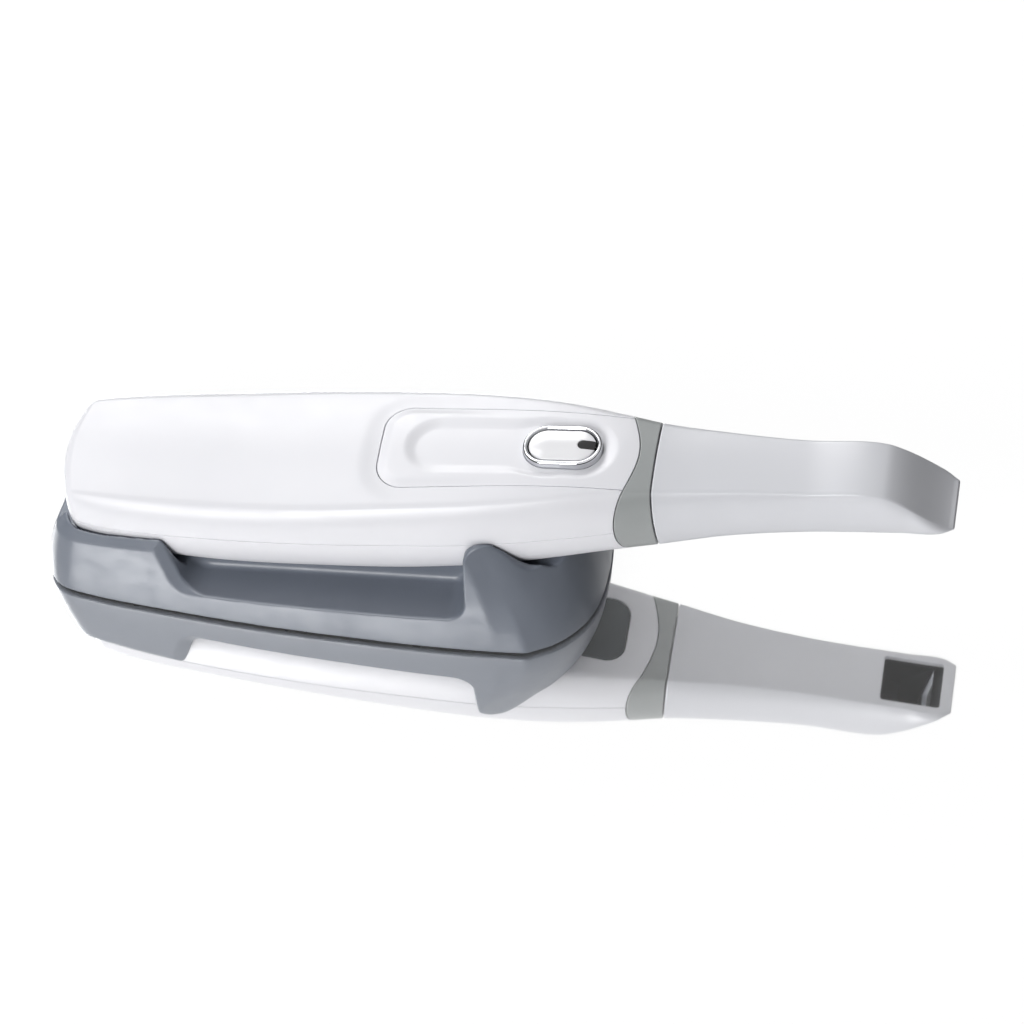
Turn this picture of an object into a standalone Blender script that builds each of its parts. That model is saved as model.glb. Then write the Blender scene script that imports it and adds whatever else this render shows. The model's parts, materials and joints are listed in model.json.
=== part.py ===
"""Intraoral 3-D scanner wand lying tip-up in its desk cradle.

Frame: metres, +Z up, +X towards the scanning tip, z = 0 on the desk, origin under the middle of the cradle.
The cradle is modelled in that frame. The wand is modelled in its own frame, which an empty tilts into the
seat: s runs along the wand from its tail, y across, h up from the parting plane of its two housings.
Every size below is in millimetres.
"""

import math

import bmesh
import bpy
import numpy as np
from mathutils import Matrix, Vector

MM = 0.001
TOUCH = 0.3  # gap kept between pieces that touch
SEAM = 0.3  # gap between the two housings at the parting plane

# Overall sizes. The tables of outlines further down are drawn for the drawn sizes and stretch with these.
WAND_WIDTH = 44.8
DRAWN_WAND_WIDTH = 44.8
CRADLE_LENGTH = 140.2
DRAWN_CRADLE_LENGTH = 140.2
WIDEN = WAND_WIDTH / DRAWN_WAND_WIDTH
LENGTHEN = CRADLE_LENGTH / DRAWN_CRADLE_LENGTH

# Wand: where it lies
WAND_TILT = math.radians(5.0)
TAIL_POINT = (-65.0, 0.0, 23.5)  # the tail end's centre on the parting plane

# Wand: stations along its axis
TAIL_ROUND = 3.0  # radius of the tail end's edge
TAIL_BOW = 3.0
COLLAR_SEAM = 141.6  # mean station of the collar's wavy rear edge
COLLAR_WAVE = 2.7
TIP_JOINT = 148.0
TIP_SHOULDER = 203.5  # where the slanted end face starts
TIP_END = 219.4

# Wand: the skin, as (station, size) through which a smooth curve runs
HALF_WIDTH = [(0, 17.0), (8, 18.9), (22, 20.6), (42, 21.9), (64, 22.4), (86, 22.0), (104, 21.2),
              (122, 19.0), (138, 16.2), (148, 13.9), (162, 11.9), (178, 10.4), (194, 9.6), (208, 9.5),
              (216, 9.3), (219.4, 7.4)]
CROWN_HALF_WIDTH = [(0, 13.9), (8, 14.8), (46, 17.2), (66, 17.8), (86, 17.5), (104, 16.8), (122, 15.0),
                    (140, 11.6), (148, 10.5), (164, 9.2), (180, 8.3), (204, 8.2), (216, 8.0), (219.4, 6.2)]
CROWN_HEIGHT = [(0, 8.0), (8, 8.2), (46, 8.4), (66, 9.2), (86, 10.3), (104, 11.0), (124, 11.3), (140, 10.7),
                (150, 9.5), (166, 8.5), (184, 7.6), (203, 7.1), (206, 5.6), (218, -4.0), (219.4, -4.7)]
CROWN_RISE = [(0, 0.8), (20, 1.5), (110, 1.7), (148, 0.9), (170, 0.4), (220, 0.2)]
KEEL_HALF_WIDTH = [(0, 13.0), (8, 14.6), (30, 17.4), (60, 18.6), (90, 18.4), (112, 16.9), (138, 13.2),
                   (148, 12.0), (164, 9.6), (182, 8.5), (206, 8.4), (216, 8.2), (219.4, 6.4)]
KEEL_DEPTH = [(0, 8.4), (8, 9.8), (22, 11.4), (50, 12.5), (86, 12.4), (112, 11.2), (136, 9.6), (148, 8.8),
              (166, 7.6), (186, 6.6), (206, 6.1), (220, 5.8)]
KEEL_DROP = [(0, 0.6), (30, 1.1), (110, 1.1), (148, 0.5), (220, 0.1)]
MID_HEIGHT = [(0, 0.0), (196, 0.0), (206, -0.6), (218, -4.9), (219.4, -5.2)]
FLANK_TURN = math.radians(66)  # how far each flank has turned inwards at its crease
KEEL_TURN = math.radians(74)
CREASE_INSET = 0.8  # share of an inset that moves the crease in
TAIL_BOW_REACH = 22.0  # the tail's bow has faded out here

# Wand: walls and inlays
HOUSING_WALL = 2.0
COLLAR_WALL = 2.2
TIP_WALL = 1.2
SPIGOT_WALL = 1.3
SPIGOT_START = 141.0
SPIGOT_END = 176.0
SOCKET_RADIUS = 5.0
SOCKET_BORE = 3.6
SOCKET_LENGTH = 9.0
PANEL_START = 80.4
PANEL_HALF_WIDTH = 12.6
PANEL_FRONT_HALF_WIDTH = 10.9
PANEL_CORNER = 7.0
PANEL_THICK = 1.5
BELLY_START = 92.0
BELLY_END = 136.6
BELLY_HALF_WIDTH = 9.6
BELLY_CORNER = 5.0
BELLY_THICK = 1.5
INLAY_CUT = (4.0, 20.0)  # heights between which the inlays' cutters run
BUTTON_STATION = 125.6
BEZEL_LENGTH = 19.4
BEZEL_WIDTH = 12.0
BEZEL_RIM = 1.15
BEZEL_TOP = 13.6
BEZEL_DEPTH = 3.4
BUTTON_TRAVEL = 0.7
BUTTON_TOP = 13.9
BUTTON_SIDE_TOP = 13.2
INDICATOR_LENGTH = 5.0
INDICATOR_WIDTH = 2.6
WINDOW_START = 201.4
WINDOW_END = 216.4
WINDOW_HALF_WIDTH = 6.7
WINDOW_CORNER = 0.8
WINDOW_CUT = (-9.0, -4.2)
MIRROR_DEPTH = TIP_WALL + 1.3  # under the slanted end face
MIRROR_THICK = 1.0
MIRROR_HALF_WIDTH = 6.2
GLASS_STATIONS = (SPIGOT_END - 4.0, SPIGOT_END - 2.4)
SCREW_SHANK = 1.2
SCREW_HEAD = 2.3
HOUSING_SCREW_STATION = 26.0
HOUSING_SCREW_SIDE = 9.0
BOSS = 1.2  # the screw hole's step lies this far inside the skin

# Cradle: half outlines at the foot and at the tabs' height, from the rear's middle to the front's
FOOT_OUTLINE = [(-71.4, 0), (-70.8, 12.0), (-67.2, 20.0), (-58.0, 22.9), (-40.0, 25.2), (-15.0, 27.6),
                (12.0, 29.0), (38.0, 29.5), (50.0, 29.1), (58.5, 25.2), (65.2, 18.2), (68.0, 10.0), (68.8, 0)]
RIM_OUTLINE = [(-62.5, 0), (-62.2, 11.5), (-59.0, 17.6), (-48.0, 19.8), (-33.0, 21.8), (-12.0, 23.4),
               (10.0, 24.4), (30.0, 24.8), (42.0, 23.6), (48.6, 17.6), (53.0, 11.6), (56.0, 5.6), (56.8, 0)]
FOOT_HEIGHT = 1.4
RIM_HEIGHT = 34.4
OUTLINE_STEPS = 33
LEAN_POWER = 1.6  # the walls stand nearly upright at the foot and lean in faster towards the rim
REAR_TAB_REAR_TOP = 23.2
REAR_TAB_FRONT = -39.2
REAR_TAB_FRONT_TOP = 25.4
FRONT_TAB_REAR = 37.4
FRONT_TAB_TOP = 34.2
FRONT_LIP_START = 5.4  # the front tab's top runs level this far, then falls in a curve
FRONT_LIP_RUN = 11.6
FRONT_LIP_FALL = 9.6
TAB_STEP = 4.0
SCOOP_REAR_FLOOR = (-32.0, 9.0)
SCOOP_FRONT_FLOOR = (36.0, 12.1)
SCOOP_ROUND = 5.0
BED_HALF_WIDTH = 18.0
PAST_SHELL = 40.0  # cutters end this far out on both sides
SEAT_STATIONS = (0.8, 4.0, 12.0, 30.0, 50.0, 75.0, 100.0, 118.0, 130.0, 150.0)
PAD_STATIONS = {"rear": (18.0, 44.0), "front": (92.0, 116.0)}
PAD_QUARTERS = (2.62, 3.38)
PAD_THICK = 1.0
SEAT_SPARE = 0.15  # the skin's inset is a little less than its true offset where it curves
SEAT_CLEARANCE = TOUCH + PAD_THICK + TOUCH + SEAT_SPARE
REBATE_INSET = 2.5
PLATE_THICK = 1.6
MAT_THICK = 1.1
MAT_INSET = 1.6
BALLAST_LENGTH = 98.0
BALLAST_WIDTH = 37.0
BALLAST_THICK = 3.6
BALLAST_MIDDLE = -1.0
BALLAST_CORNER = 6.0
CAVITY_CLEARANCE = 1.0
BASE_SCREW_AT = [(-60.0, 9.0), (-60.0, -9.0), (58.0, 8.0), (58.0, -8.0)]
BASE_SCREW_LENGTH = 8.0
NOTCH_HALF_WIDTH = 7.5
NOTCH_FLOOR = 13.5

# Inside the wand
BOARD_THICK = 1.6
BOARD_START = 14.0
BOARD_END = 98.0
BOARD_WIDTH = 26.0
BOARD_HEIGHT = 1.2
DECK_START = 12.0
DECK_END = 134.0
DECK_WIDTH = 25.0
DECK_THICK = 1.6
DECK_HEIGHT = HOUSING_WALL - 9.0  # the deck lies just above the lower housing's inner wall
POST_RADIUS = 1.6
MODULE_START = 101.0
MODULE_END = 121.0
MODULE_WIDTH = 10.5
MODULE_HEIGHT = 9.0
BARREL_RADIUS = 3.6
BARREL_END = 133.0
LENS_RADIUS = 2.8
LENS_THICK = 2.2
SWITCH_WIDTH = 6.0
SWITCH_HEIGHT = 2.0
PLUNGER_RADIUS = 1.6
PLUNGER_HEIGHT = 1.0
POST_SIDE = 9.5
LEG_SIDE = 10.2
LEG_LENGTH = 5.0
LEG_WIDTH = 2.0
SMALL_BOARD_LENGTH = 11.0
SMALL_BOARD_WIDTH = 22.4
SMALL_BOARD_THICK = 1.2
SINK_START = 48.0
SINK_END = 74.0
SINK_WIDTH = 20.0
SINK_BASE = 1.2
FIN_COUNT = 5
FIN_HEIGHT = 3.6
FIN_THICK = 1.2
MODULE_SIDE = 5.4
ROOTED = 0.5  # joined shapes reach this far into each other


# ------------------------------------------------------------------ curves
def smooth(points, at):
    """Value at `at` of the cubic curve that runs smoothly through the points, each (position, value)."""
    x, y = np.array(points, float).T
    rise = np.diff(y) / np.diff(x)
    slope = np.concatenate([rise[:1], (rise[:-1] + rise[1:]) / 2, rise[-1:]])
    slope[1:-1][rise[:-1] * rise[1:] <= 0] = 0
    at = np.clip(at, x[0], x[-1])
    i = np.clip(np.searchsorted(x, at, side="right") - 1, 0, len(x) - 2)
    width = x[i + 1] - x[i]
    t = (at - x[i]) / width
    return (y[i] * (1 + 2 * t) * (1 - t) ** 2 + y[i + 1] * t * t * (3 - 2 * t)
            + width * (slope[i] * t * (1 - t) ** 2 - slope[i + 1] * t * t * (1 - t)))


def skin(s, quarter, inset=0.0):
    """(y, h) on the wand's skin, moved in by inset. quarter: 0 +Y side, 1 crown, 2 -Y side, 3 keel."""
    s, quarter = np.broadcast_arrays(np.asarray(s, float), np.asarray(quarter, float) % 4)
    upper = quarter <= 2
    climb = 1 - np.abs(quarter % 2 - 1)  # 0 at the side, 1 at the crown's or keel's middle
    mid = smooth(MID_HEIGHT, s)
    side = smooth(HALF_WIDTH, s) * WIDEN - inset
    crease = np.where(upper, smooth(CROWN_HALF_WIDTH, s), smooth(KEEL_HALF_WIDTH, s)) * WIDEN
    crease = crease - CREASE_INSET * inset
    height = np.where(upper, smooth(CROWN_HEIGHT, s) - mid, smooth(KEEL_DEPTH, s) + mid) - inset
    rise = np.where(upper, smooth(CROWN_RISE, s), smooth(KEEL_DROP, s))
    height = np.maximum(height, 0.2)
    crease = np.minimum(crease, side - 0.2)
    turn = np.where(upper, FLANK_TURN, KEEL_TURN)
    phi = turn * np.clip(climb / 0.5, 0, 1)
    flank_y = crease + (side - crease) * (np.cos(phi) - np.cos(turn)) / (1 - np.cos(turn))
    flank_h = height * np.sin(phi) / np.sin(turn)
    across = np.clip(2 - 2 * climb, 0, 1)
    dome_h = height + rise * (1 - across ** 2)
    y = np.where(climb < 0.5, flank_y, crease * across)
    h = np.where(climb < 0.5, flank_h, dome_h)
    y = y * np.where((quarter > 1) & (quarter < 3), -1, 1)
    return y, mid + h * np.where(upper, 1, -1)


def seam_station(quarter):
    """Station of the wavy joint between housings and collar: forward at crown and keel, back at the sides."""
    return COLLAR_SEAM - COLLAR_WAVE * np.cos(np.pi * np.asarray(quarter, float))


def stadium(length, width, steps=8):
    """Outline with two straight sides and round ends, centred on the origin."""
    turn = np.linspace(-np.pi / 2, np.pi / 2, steps + 1)
    end = np.column_stack([np.cos(turn), np.sin(turn)]) * width / 2
    half = (length - width) / 2
    return np.concatenate([end + [half, 0], -end - [half, 0]])


def rounded_quad(corners, radii, steps=5):
    """Outline of a convex quad whose corners are rounded by the given radii, anticlockwise."""
    corners = np.array(corners, float)
    out = []
    for i, corner in enumerate(corners):
        back = corners[i - 1] - corner
        on = corners[(i + 1) % len(corners)] - corner
        back, on = back / np.linalg.norm(back), on / np.linalg.norm(on)
        half = math.acos(np.clip(back @ on, -1, 1)) / 2
        reach = radii[i] / math.tan(half)
        for t in np.linspace(0, 1, steps + 1) if radii[i] > 0 else [0.5]:
            out.append(corner + back * reach * (1 - t) ** 2 + on * reach * t * t)
    return np.array(out)


# ------------------------------------------------------------------ meshes
def new_object(name, bm, material, parent=None):
    """Object from a bmesh in millimetres, with its faces turned outwards."""
    bmesh.ops.remove_doubles(bm, verts=bm.verts, dist=1e-4)
    bmesh.ops.scale(bm, vec=(MM, MM, MM), verts=bm.verts)
    bmesh.ops.recalc_face_normals(bm, faces=bm.faces)
    mesh = bpy.data.meshes.new(name)
    bm.to_mesh(mesh)
    bm.free()
    mesh.shade_smooth()
    mesh.set_sharp_from_angle(angle=math.radians(35))
    obj = bpy.data.objects.new(name, mesh)
    bpy.context.scene.collection.objects.link(obj)
    obj.parent = parent
    if material is None:
        obj.hide_render = True
        obj.display_type = "WIRE"
    else:
        mesh.materials.append(material)
    return obj


def grid_mesh(points, loop_rows=False, loop_columns=False, cap_rows=False, cap_columns=False):
    """bmesh of quads over points[row, column]; the open ends of rows and columns can be capped."""
    rows, columns = points.shape[:2]
    bm = bmesh.new()
    verts = [[bm.verts.new(p) for p in row] for row in points]
    for i in range(rows if loop_rows else rows - 1):
        for j in range(columns if loop_columns else columns - 1):
            k, m = (i + 1) % rows, (j + 1) % columns
            bm.faces.new((verts[i][j], verts[i][m], verts[k][m], verts[k][j]))
    if cap_rows:
        bm.faces.new(verts[0])
        bm.faces.new(verts[-1][::-1])
    if cap_columns:
        bm.faces.new([row[0] for row in verts])
        bm.faces.new([row[-1] for row in verts][::-1])
    return bm


def prism(outline, low, high, axis="Z"):
    """bmesh of a flat outline extruded from low to high along Z or Y; along Y its second value is z."""
    flat = np.array(outline, float)
    if axis == "Z":
        ends = [np.column_stack([flat, np.full(len(flat), v)]) for v in (low, high)]
    else:
        ends = [np.column_stack([flat[:, 0], np.full(len(flat), v), flat[:, 1]]) for v in (low, high)]
    return grid_mesh(np.array(ends), loop_columns=True, cap_rows=True)


def block(start, end, width, low, high, middle=0.0):
    """bmesh of a box from start to end along the wand."""
    corners = [(start, middle - width / 2), (end, middle - width / 2), (end, middle + width / 2),
               (start, middle + width / 2)]
    return prism(corners, low, high)


def rod(radius, start, end, centre, sides=24, along="X"):
    """bmesh of a cylinder along X or Z."""
    turn = np.linspace(0, 2 * np.pi, sides, endpoint=False)
    ring = np.column_stack([np.cos(turn), np.sin(turn)]) * radius + centre
    if along == "Z":
        return prism(ring, start, end)
    ends = [np.column_stack([np.full(sides, v), ring]) for v in (start, end)]
    return grid_mesh(np.array(ends), loop_columns=True, cap_rows=True)


def turned(profile, centre, sides=16):
    """bmesh of a profile of (radius, z) turned round a vertical axis at centre, its ends capped."""
    turn = np.linspace(0, 2 * np.pi, sides, endpoint=False)
    rows = [np.column_stack([centre[0] + r * np.cos(turn), centre[1] + r * np.sin(turn), np.full(sides, z)])
            for r, z in profile]
    return grid_mesh(np.array(rows), loop_columns=True, cap_rows=True)


def boolean(target, operation, *cutters):
    """Adds an exact Boolean for each cutter, in order."""
    for cutter in cutters:
        modifier = target.modifiers.new(f"{operation.lower()} {cutter.name}", "BOOLEAN")
        modifier.operation = operation
        modifier.solver = "EXACT"
        modifier.object = cutter
    return target


def plastic(name, colour, roughness, metallic=0.0):
    """A Principled material."""
    material = bpy.data.materials.new(name)
    material.use_nodes = True
    shader = material.node_tree.nodes["Principled BSDF"]
    shader.inputs["Base Color"].default_value = (*colour, 1)
    shader.inputs["Roughness"].default_value = roughness
    shader.inputs["Metallic"].default_value = metallic
    return material


# ------------------------------------------------------------------ wand skin pieces
def wand_rows(quarters, stations, inset):
    """Points on the skin at each station, whose entries may differ from column to column."""
    rows = []
    for station in stations:
        s = np.broadcast_to(station, quarters.shape).astype(float)
        y, h = skin(s, quarters, inset)
        rows.append(np.column_stack([s, y, h]))
    return rows


def bow_tail(rows):
    """Bends the tail end backwards at its middle."""
    for row in rows:
        share = np.clip(1 - row[:, 0] / TAIL_BOW_REACH, 0, 1)
        row[:, 0] += TAIL_BOW * share * np.clip(np.abs(row[:, 1]) / 15, 0, 1) ** 2
    return rows


def housing(name, quarters, side, material, parent):
    """Half shell from the tail to the collar; side is +1 for the upper one and -1 for the lower."""
    front = seam_station(quarters) - TOUCH
    stations = [TAIL_ROUND + (front - TAIL_ROUND) * t for t in np.linspace(0, 1, 18)]

    def surface(inset, back):
        rows = []
        for turn in np.radians([90, 60, 30]):  # round the tail's edge
            s = back + (TAIL_ROUND - back) * (1 - math.sin(turn))
            rows += wand_rows(quarters, [np.full(quarters.shape, max(s, 0.0))],
                              inset + (TAIL_ROUND - back) * (1 - math.cos(turn)))
            rows[-1][:, 0] = s
        hole = np.column_stack([np.full(len(quarters), back),
                                (SOCKET_RADIUS + TOUCH) * np.cos(np.pi / 2 * quarters),
                                (SOCKET_RADIUS + TOUCH) * np.sin(np.pi / 2 * quarters)])
        return bow_tail([hole] + rows + wand_rows(quarters, stations, inset))

    rows = surface(0.0, 0.0) + surface(HOUSING_WALL, HOUSING_WALL)[::-1]
    points = np.array(rows)
    flat = side * np.maximum(side * points[:, :, 2], SEAM / 2)
    flat[:, [0, -1]] = side * SEAM / 2
    points[:, :, 2] = flat
    bm = grid_mesh(points, loop_rows=True, cap_columns=True)
    return new_object(name, bm, material, parent)


def tube(name, material, parent, start, end, outer, wall, steps, quarters):
    """Open tube between two stations, its skin moved in by outer and its bore by outer + wall."""
    stations = [start + (end - start) * t for t in np.linspace(0, 1, steps)]
    rows = wand_rows(quarters, stations, outer) + wand_rows(quarters, stations, outer + wall)[::-1]
    return new_object(name, grid_mesh(np.array(rows), loop_rows=True, loop_columns=True), material, parent)


def layer(name, material, parent, start, front, quarters, thick):
    """Curved strip of the skin of a given thickness, to be trimmed to an inlay's outline."""
    stations = [start + (front - start) * t for t in np.linspace(0, 1, 9)]
    rows = wand_rows(quarters, stations, 0.0) + wand_rows(quarters, stations, thick)[::-1]
    return new_object(name, grid_mesh(np.array(rows), loop_rows=True, cap_columns=True), material, parent)


def build_housings(frame, paint):
    """Upper and lower housings with their inlays' cut-outs, and the inlays."""
    upper = housing("upper_housing", np.linspace(0, 2, 25), 1, paint["white"], frame)
    lower = housing("lower_housing", np.linspace(2, 4, 25), -1, paint["white"], frame)

    def panel_outline(grow):
        start, side, front_side = PANEL_START - grow, PANEL_HALF_WIDTH + grow, PANEL_FRONT_HALF_WIDTH + grow
        corners = [(start, -side), (TIP_JOINT, -front_side), (TIP_JOINT, front_side), (start, side)]
        return rounded_quad(corners, [PANEL_CORNER, 0, 0, PANEL_CORNER])

    def belly_outline(grow):
        start, end, side = BELLY_START - grow, BELLY_END + grow, BELLY_HALF_WIDTH + grow
        return rounded_quad([(start, -side), (end, -side), (end, side), (start, side)], [BELLY_CORNER] * 4)

    top = smooth(CROWN_HEIGHT, BUTTON_STATION)
    panel_cut = new_object("cut_panel", prism(panel_outline(TOUCH), *INLAY_CUT), None, frame)
    panel_trim = new_object("trim_panel", prism(panel_outline(0.0), *INLAY_CUT), None, frame)
    well_outline = stadium(BEZEL_LENGTH + 2 * TOUCH, BEZEL_WIDTH + 2 * TOUCH) + [BUTTON_STATION, 0]
    well = new_object("cut_button_well", prism(well_outline, top - 8, top + 8), None, frame)
    quarters = np.linspace(0.4, 1.6, 15)
    panel = layer("button_panel", paint["panel"], frame, PANEL_START - 6, seam_station(quarters) - TOUCH,
                  quarters, PANEL_THICK)
    boolean(panel, "INTERSECT", panel_trim)
    boolean(panel, "DIFFERENCE", well)
    boolean(upper, "DIFFERENCE", panel_cut)

    below = (-INLAY_CUT[1], -INLAY_CUT[0])
    belly_cut = new_object("cut_belly", prism(belly_outline(TOUCH), *below), None, frame)
    belly_trim = new_object("trim_belly", prism(belly_outline(0.0), *below), None, frame)
    belly = layer("belly_panel", paint["dark"], frame, BELLY_START - 4, BELLY_END + 4, quarters + 2,
                  BELLY_THICK)
    boolean(belly, "INTERSECT", belly_trim)
    boolean(lower, "DIFFERENCE", belly_cut)
    return lower


def build_nose(frame, paint):
    """Collar, the spigot that carries the tip, and the glass that seals it."""
    quarters = np.linspace(0, 4, 40, endpoint=False)
    tube("front_collar", paint["collar"], frame, seam_station(quarters), TIP_JOINT, 0.0, COLLAR_WALL, 4,
         quarters)
    inner = TIP_WALL + TOUCH
    tube("nose_spigot", paint["metal"], frame, TIP_JOINT + TOUCH, SPIGOT_END, inner, SPIGOT_WALL, 6, quarters)
    tube("spigot_mount", paint["metal"], frame, SPIGOT_START, TIP_JOINT, COLLAR_WALL + TOUCH, SPIGOT_WALL, 2,
         quarters)
    glass = wand_rows(quarters, GLASS_STATIONS, inner + SPIGOT_WALL + TOUCH)
    new_object("front_window", grid_mesh(np.array(glass), loop_columns=True, cap_rows=True), paint["glass"],
               frame)


def build_tip(frame, paint):
    """Removable tip sleeve, with the mirror behind its slanted end face."""
    quarters = np.linspace(0, 4, 40, endpoint=False)
    slant = [TIP_SHOULDER + d for d in (0.0, 1.2, 2.6, 7.0, 11.5, 14.5)] + [TIP_END - 0.5, TIP_END]
    straight = np.linspace(TIP_JOINT + TOUCH, TIP_SHOULDER - 3.0, 7).tolist()
    outer = straight + slant
    inner = [s for s in outer if s < TIP_END - 4.0]
    rows = wand_rows(quarters, outer[::-1], 0.0) + wand_rows(quarters, inner, TIP_WALL)
    sleeve = new_object("tip_sleeve", grid_mesh(np.array(rows), loop_columns=True, cap_rows=True),
                        paint["tip"], frame)
    window = [(WINDOW_START, -WINDOW_HALF_WIDTH), (WINDOW_END, -WINDOW_HALF_WIDTH),
              (WINDOW_END, WINDOW_HALF_WIDTH), (WINDOW_START, WINDOW_HALF_WIDTH)]
    opening = prism(rounded_quad(window, [WINDOW_CORNER] * 4, 2), *WINDOW_CUT)
    cut = new_object("cut_window", opening, None, frame)
    boolean(sleeve, "DIFFERENCE", cut)


def spread_outline(points):
    """A half outline as evenly spaced points on the smooth curve through its own."""
    at = np.linspace(0, 1, len(points))
    spread = np.linspace(0, 1, OUTLINE_STEPS)
    outline = np.column_stack([smooth(list(zip(at, column)), spread) for column in zip(*points)])
    return outline * [LENGTHEN, WIDEN]


def cradle_outline(z, inset=0.0):
    """The cradle's plan at a height, moved in by inset."""
    foot, rim = spread_outline(FOOT_OUTLINE), spread_outline(RIM_OUTLINE)
    share = max((z - FOOT_HEIGHT) / (RIM_HEIGHT - FOOT_HEIGHT), 0.0) ** LEAN_POWER
    half = foot + (rim - foot) * share
    ring = np.concatenate([half, half[-2:0:-1] * [1, -1]])
    middle = (ring.max(0) + ring.min(0)) / 2
    reach = (ring.max(0) - ring.min(0)) / 2
    return (ring - middle) * (reach - inset) / reach + middle


def cradle_blank(material):
    """The cradle's solid body before its cuts, leaning in towards the rim."""
    heights = (FOOT_HEIGHT, 6.0, 12.0, 18.0, 23.0, 28.0, RIM_HEIGHT + 1.6)
    rows = [np.column_stack([cradle_outline(z), np.full(2 * OUTLINE_STEPS - 2, z)]) for z in heights]
    return new_object("cradle_shell", grid_mesh(np.array(rows)[:, ::-1], loop_columns=True, cap_rows=True),
                      material)


def cradle_cutters():
    """Cutters for the cradle's top edge, its seat, its finger scoops and its cable notch."""
    lip = [(FRONT_TAB_REAR + FRONT_LIP_START + FRONT_LIP_RUN * t,
            FRONT_TAB_TOP - FRONT_LIP_FALL * (3 * t * t - 2 * t ** 3)) for t in np.linspace(0, 1, 7)]
    top_edge = [(-110, REAR_TAB_REAR_TOP - 1.0), (-60.0, REAR_TAB_REAR_TOP),
                (REAR_TAB_FRONT, REAR_TAB_FRONT_TOP), (REAR_TAB_FRONT + TAB_STEP, FRONT_TAB_TOP - 2.0),
                (FRONT_TAB_REAR - 2.0, FRONT_TAB_TOP - 0.8), (FRONT_TAB_REAR + 1.2, FRONT_TAB_TOP), *lip,
                (110, FRONT_TAB_TOP - FRONT_LIP_FALL), (110, 60), (-110, 60)]
    top_cut = new_object("cut_top", prism(top_edge, -PAST_SHELL, PAST_SHELL, "Y"), None)

    run = SCOOP_FRONT_FLOOR[0] - SCOOP_REAR_FLOOR[0]
    floor_slope = (SCOOP_FRONT_FLOOR[1] - SCOOP_REAR_FLOOR[1]) / run
    scoop_side = rounded_quad([(SCOOP_REAR_FLOOR[0] - 0.6, SCOOP_REAR_FLOOR[1]),
                               (FRONT_TAB_REAR - 0.2, SCOOP_FRONT_FLOOR[1] + floor_slope * 1.4),
                               (FRONT_TAB_REAR, 50.0), (REAR_TAB_FRONT - 6.2, 50.0)],
                              [SCOOP_ROUND, SCOOP_ROUND, 0, 0])
    bed = BED_HALF_WIDTH * WIDEN
    far = new_object("cut_scoop_far", prism(scoop_side, bed, PAST_SHELL, "Y"), None)
    near = new_object("cut_scoop_near", prism(scoop_side, -PAST_SHELL, -bed, "Y"), None)

    # the seat: the wand's lower half grown by its clearance, carried straight up out of the cradle
    quarters = np.linspace(2, 4, 17)
    seat_rows = []
    for s in (-SEAT_CLEARANCE, *SEAT_STATIONS):
        inset = -SEAT_CLEARANCE + (2.2 if s < 0 else 0.0)
        y, h = skin(max(s, 0.0), quarters, inset)
        row = np.column_stack([np.full(len(y), s), y, h])
        lid = np.array([[s, y[-1], 30.0], [s, y[0], 30.0]])
        seat_rows.append(np.concatenate([row, lid]))
    seat = new_object("cut_seat", grid_mesh(np.array(seat_rows), loop_columns=True, cap_rows=True), None)
    seat.matrix_world = wand_matrix()
    notch = new_object("cut_notch", block(-90, -50, 2 * NOTCH_HALF_WIDTH, NOTCH_FLOOR, 60.0), None)
    return top_cut, seat, far, near, notch


def ballast_plan(grow):
    """The ballast's plan, grown by a clearance."""
    length, width = BALLAST_LENGTH / 2 + grow, BALLAST_WIDTH / 2 + grow
    corners = [(-length, -width), (length, -width), (length, width), (-length, width)]
    return rounded_quad(corners, [BALLAST_CORNER] * 4) + [BALLAST_MIDDLE, 0]


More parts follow.
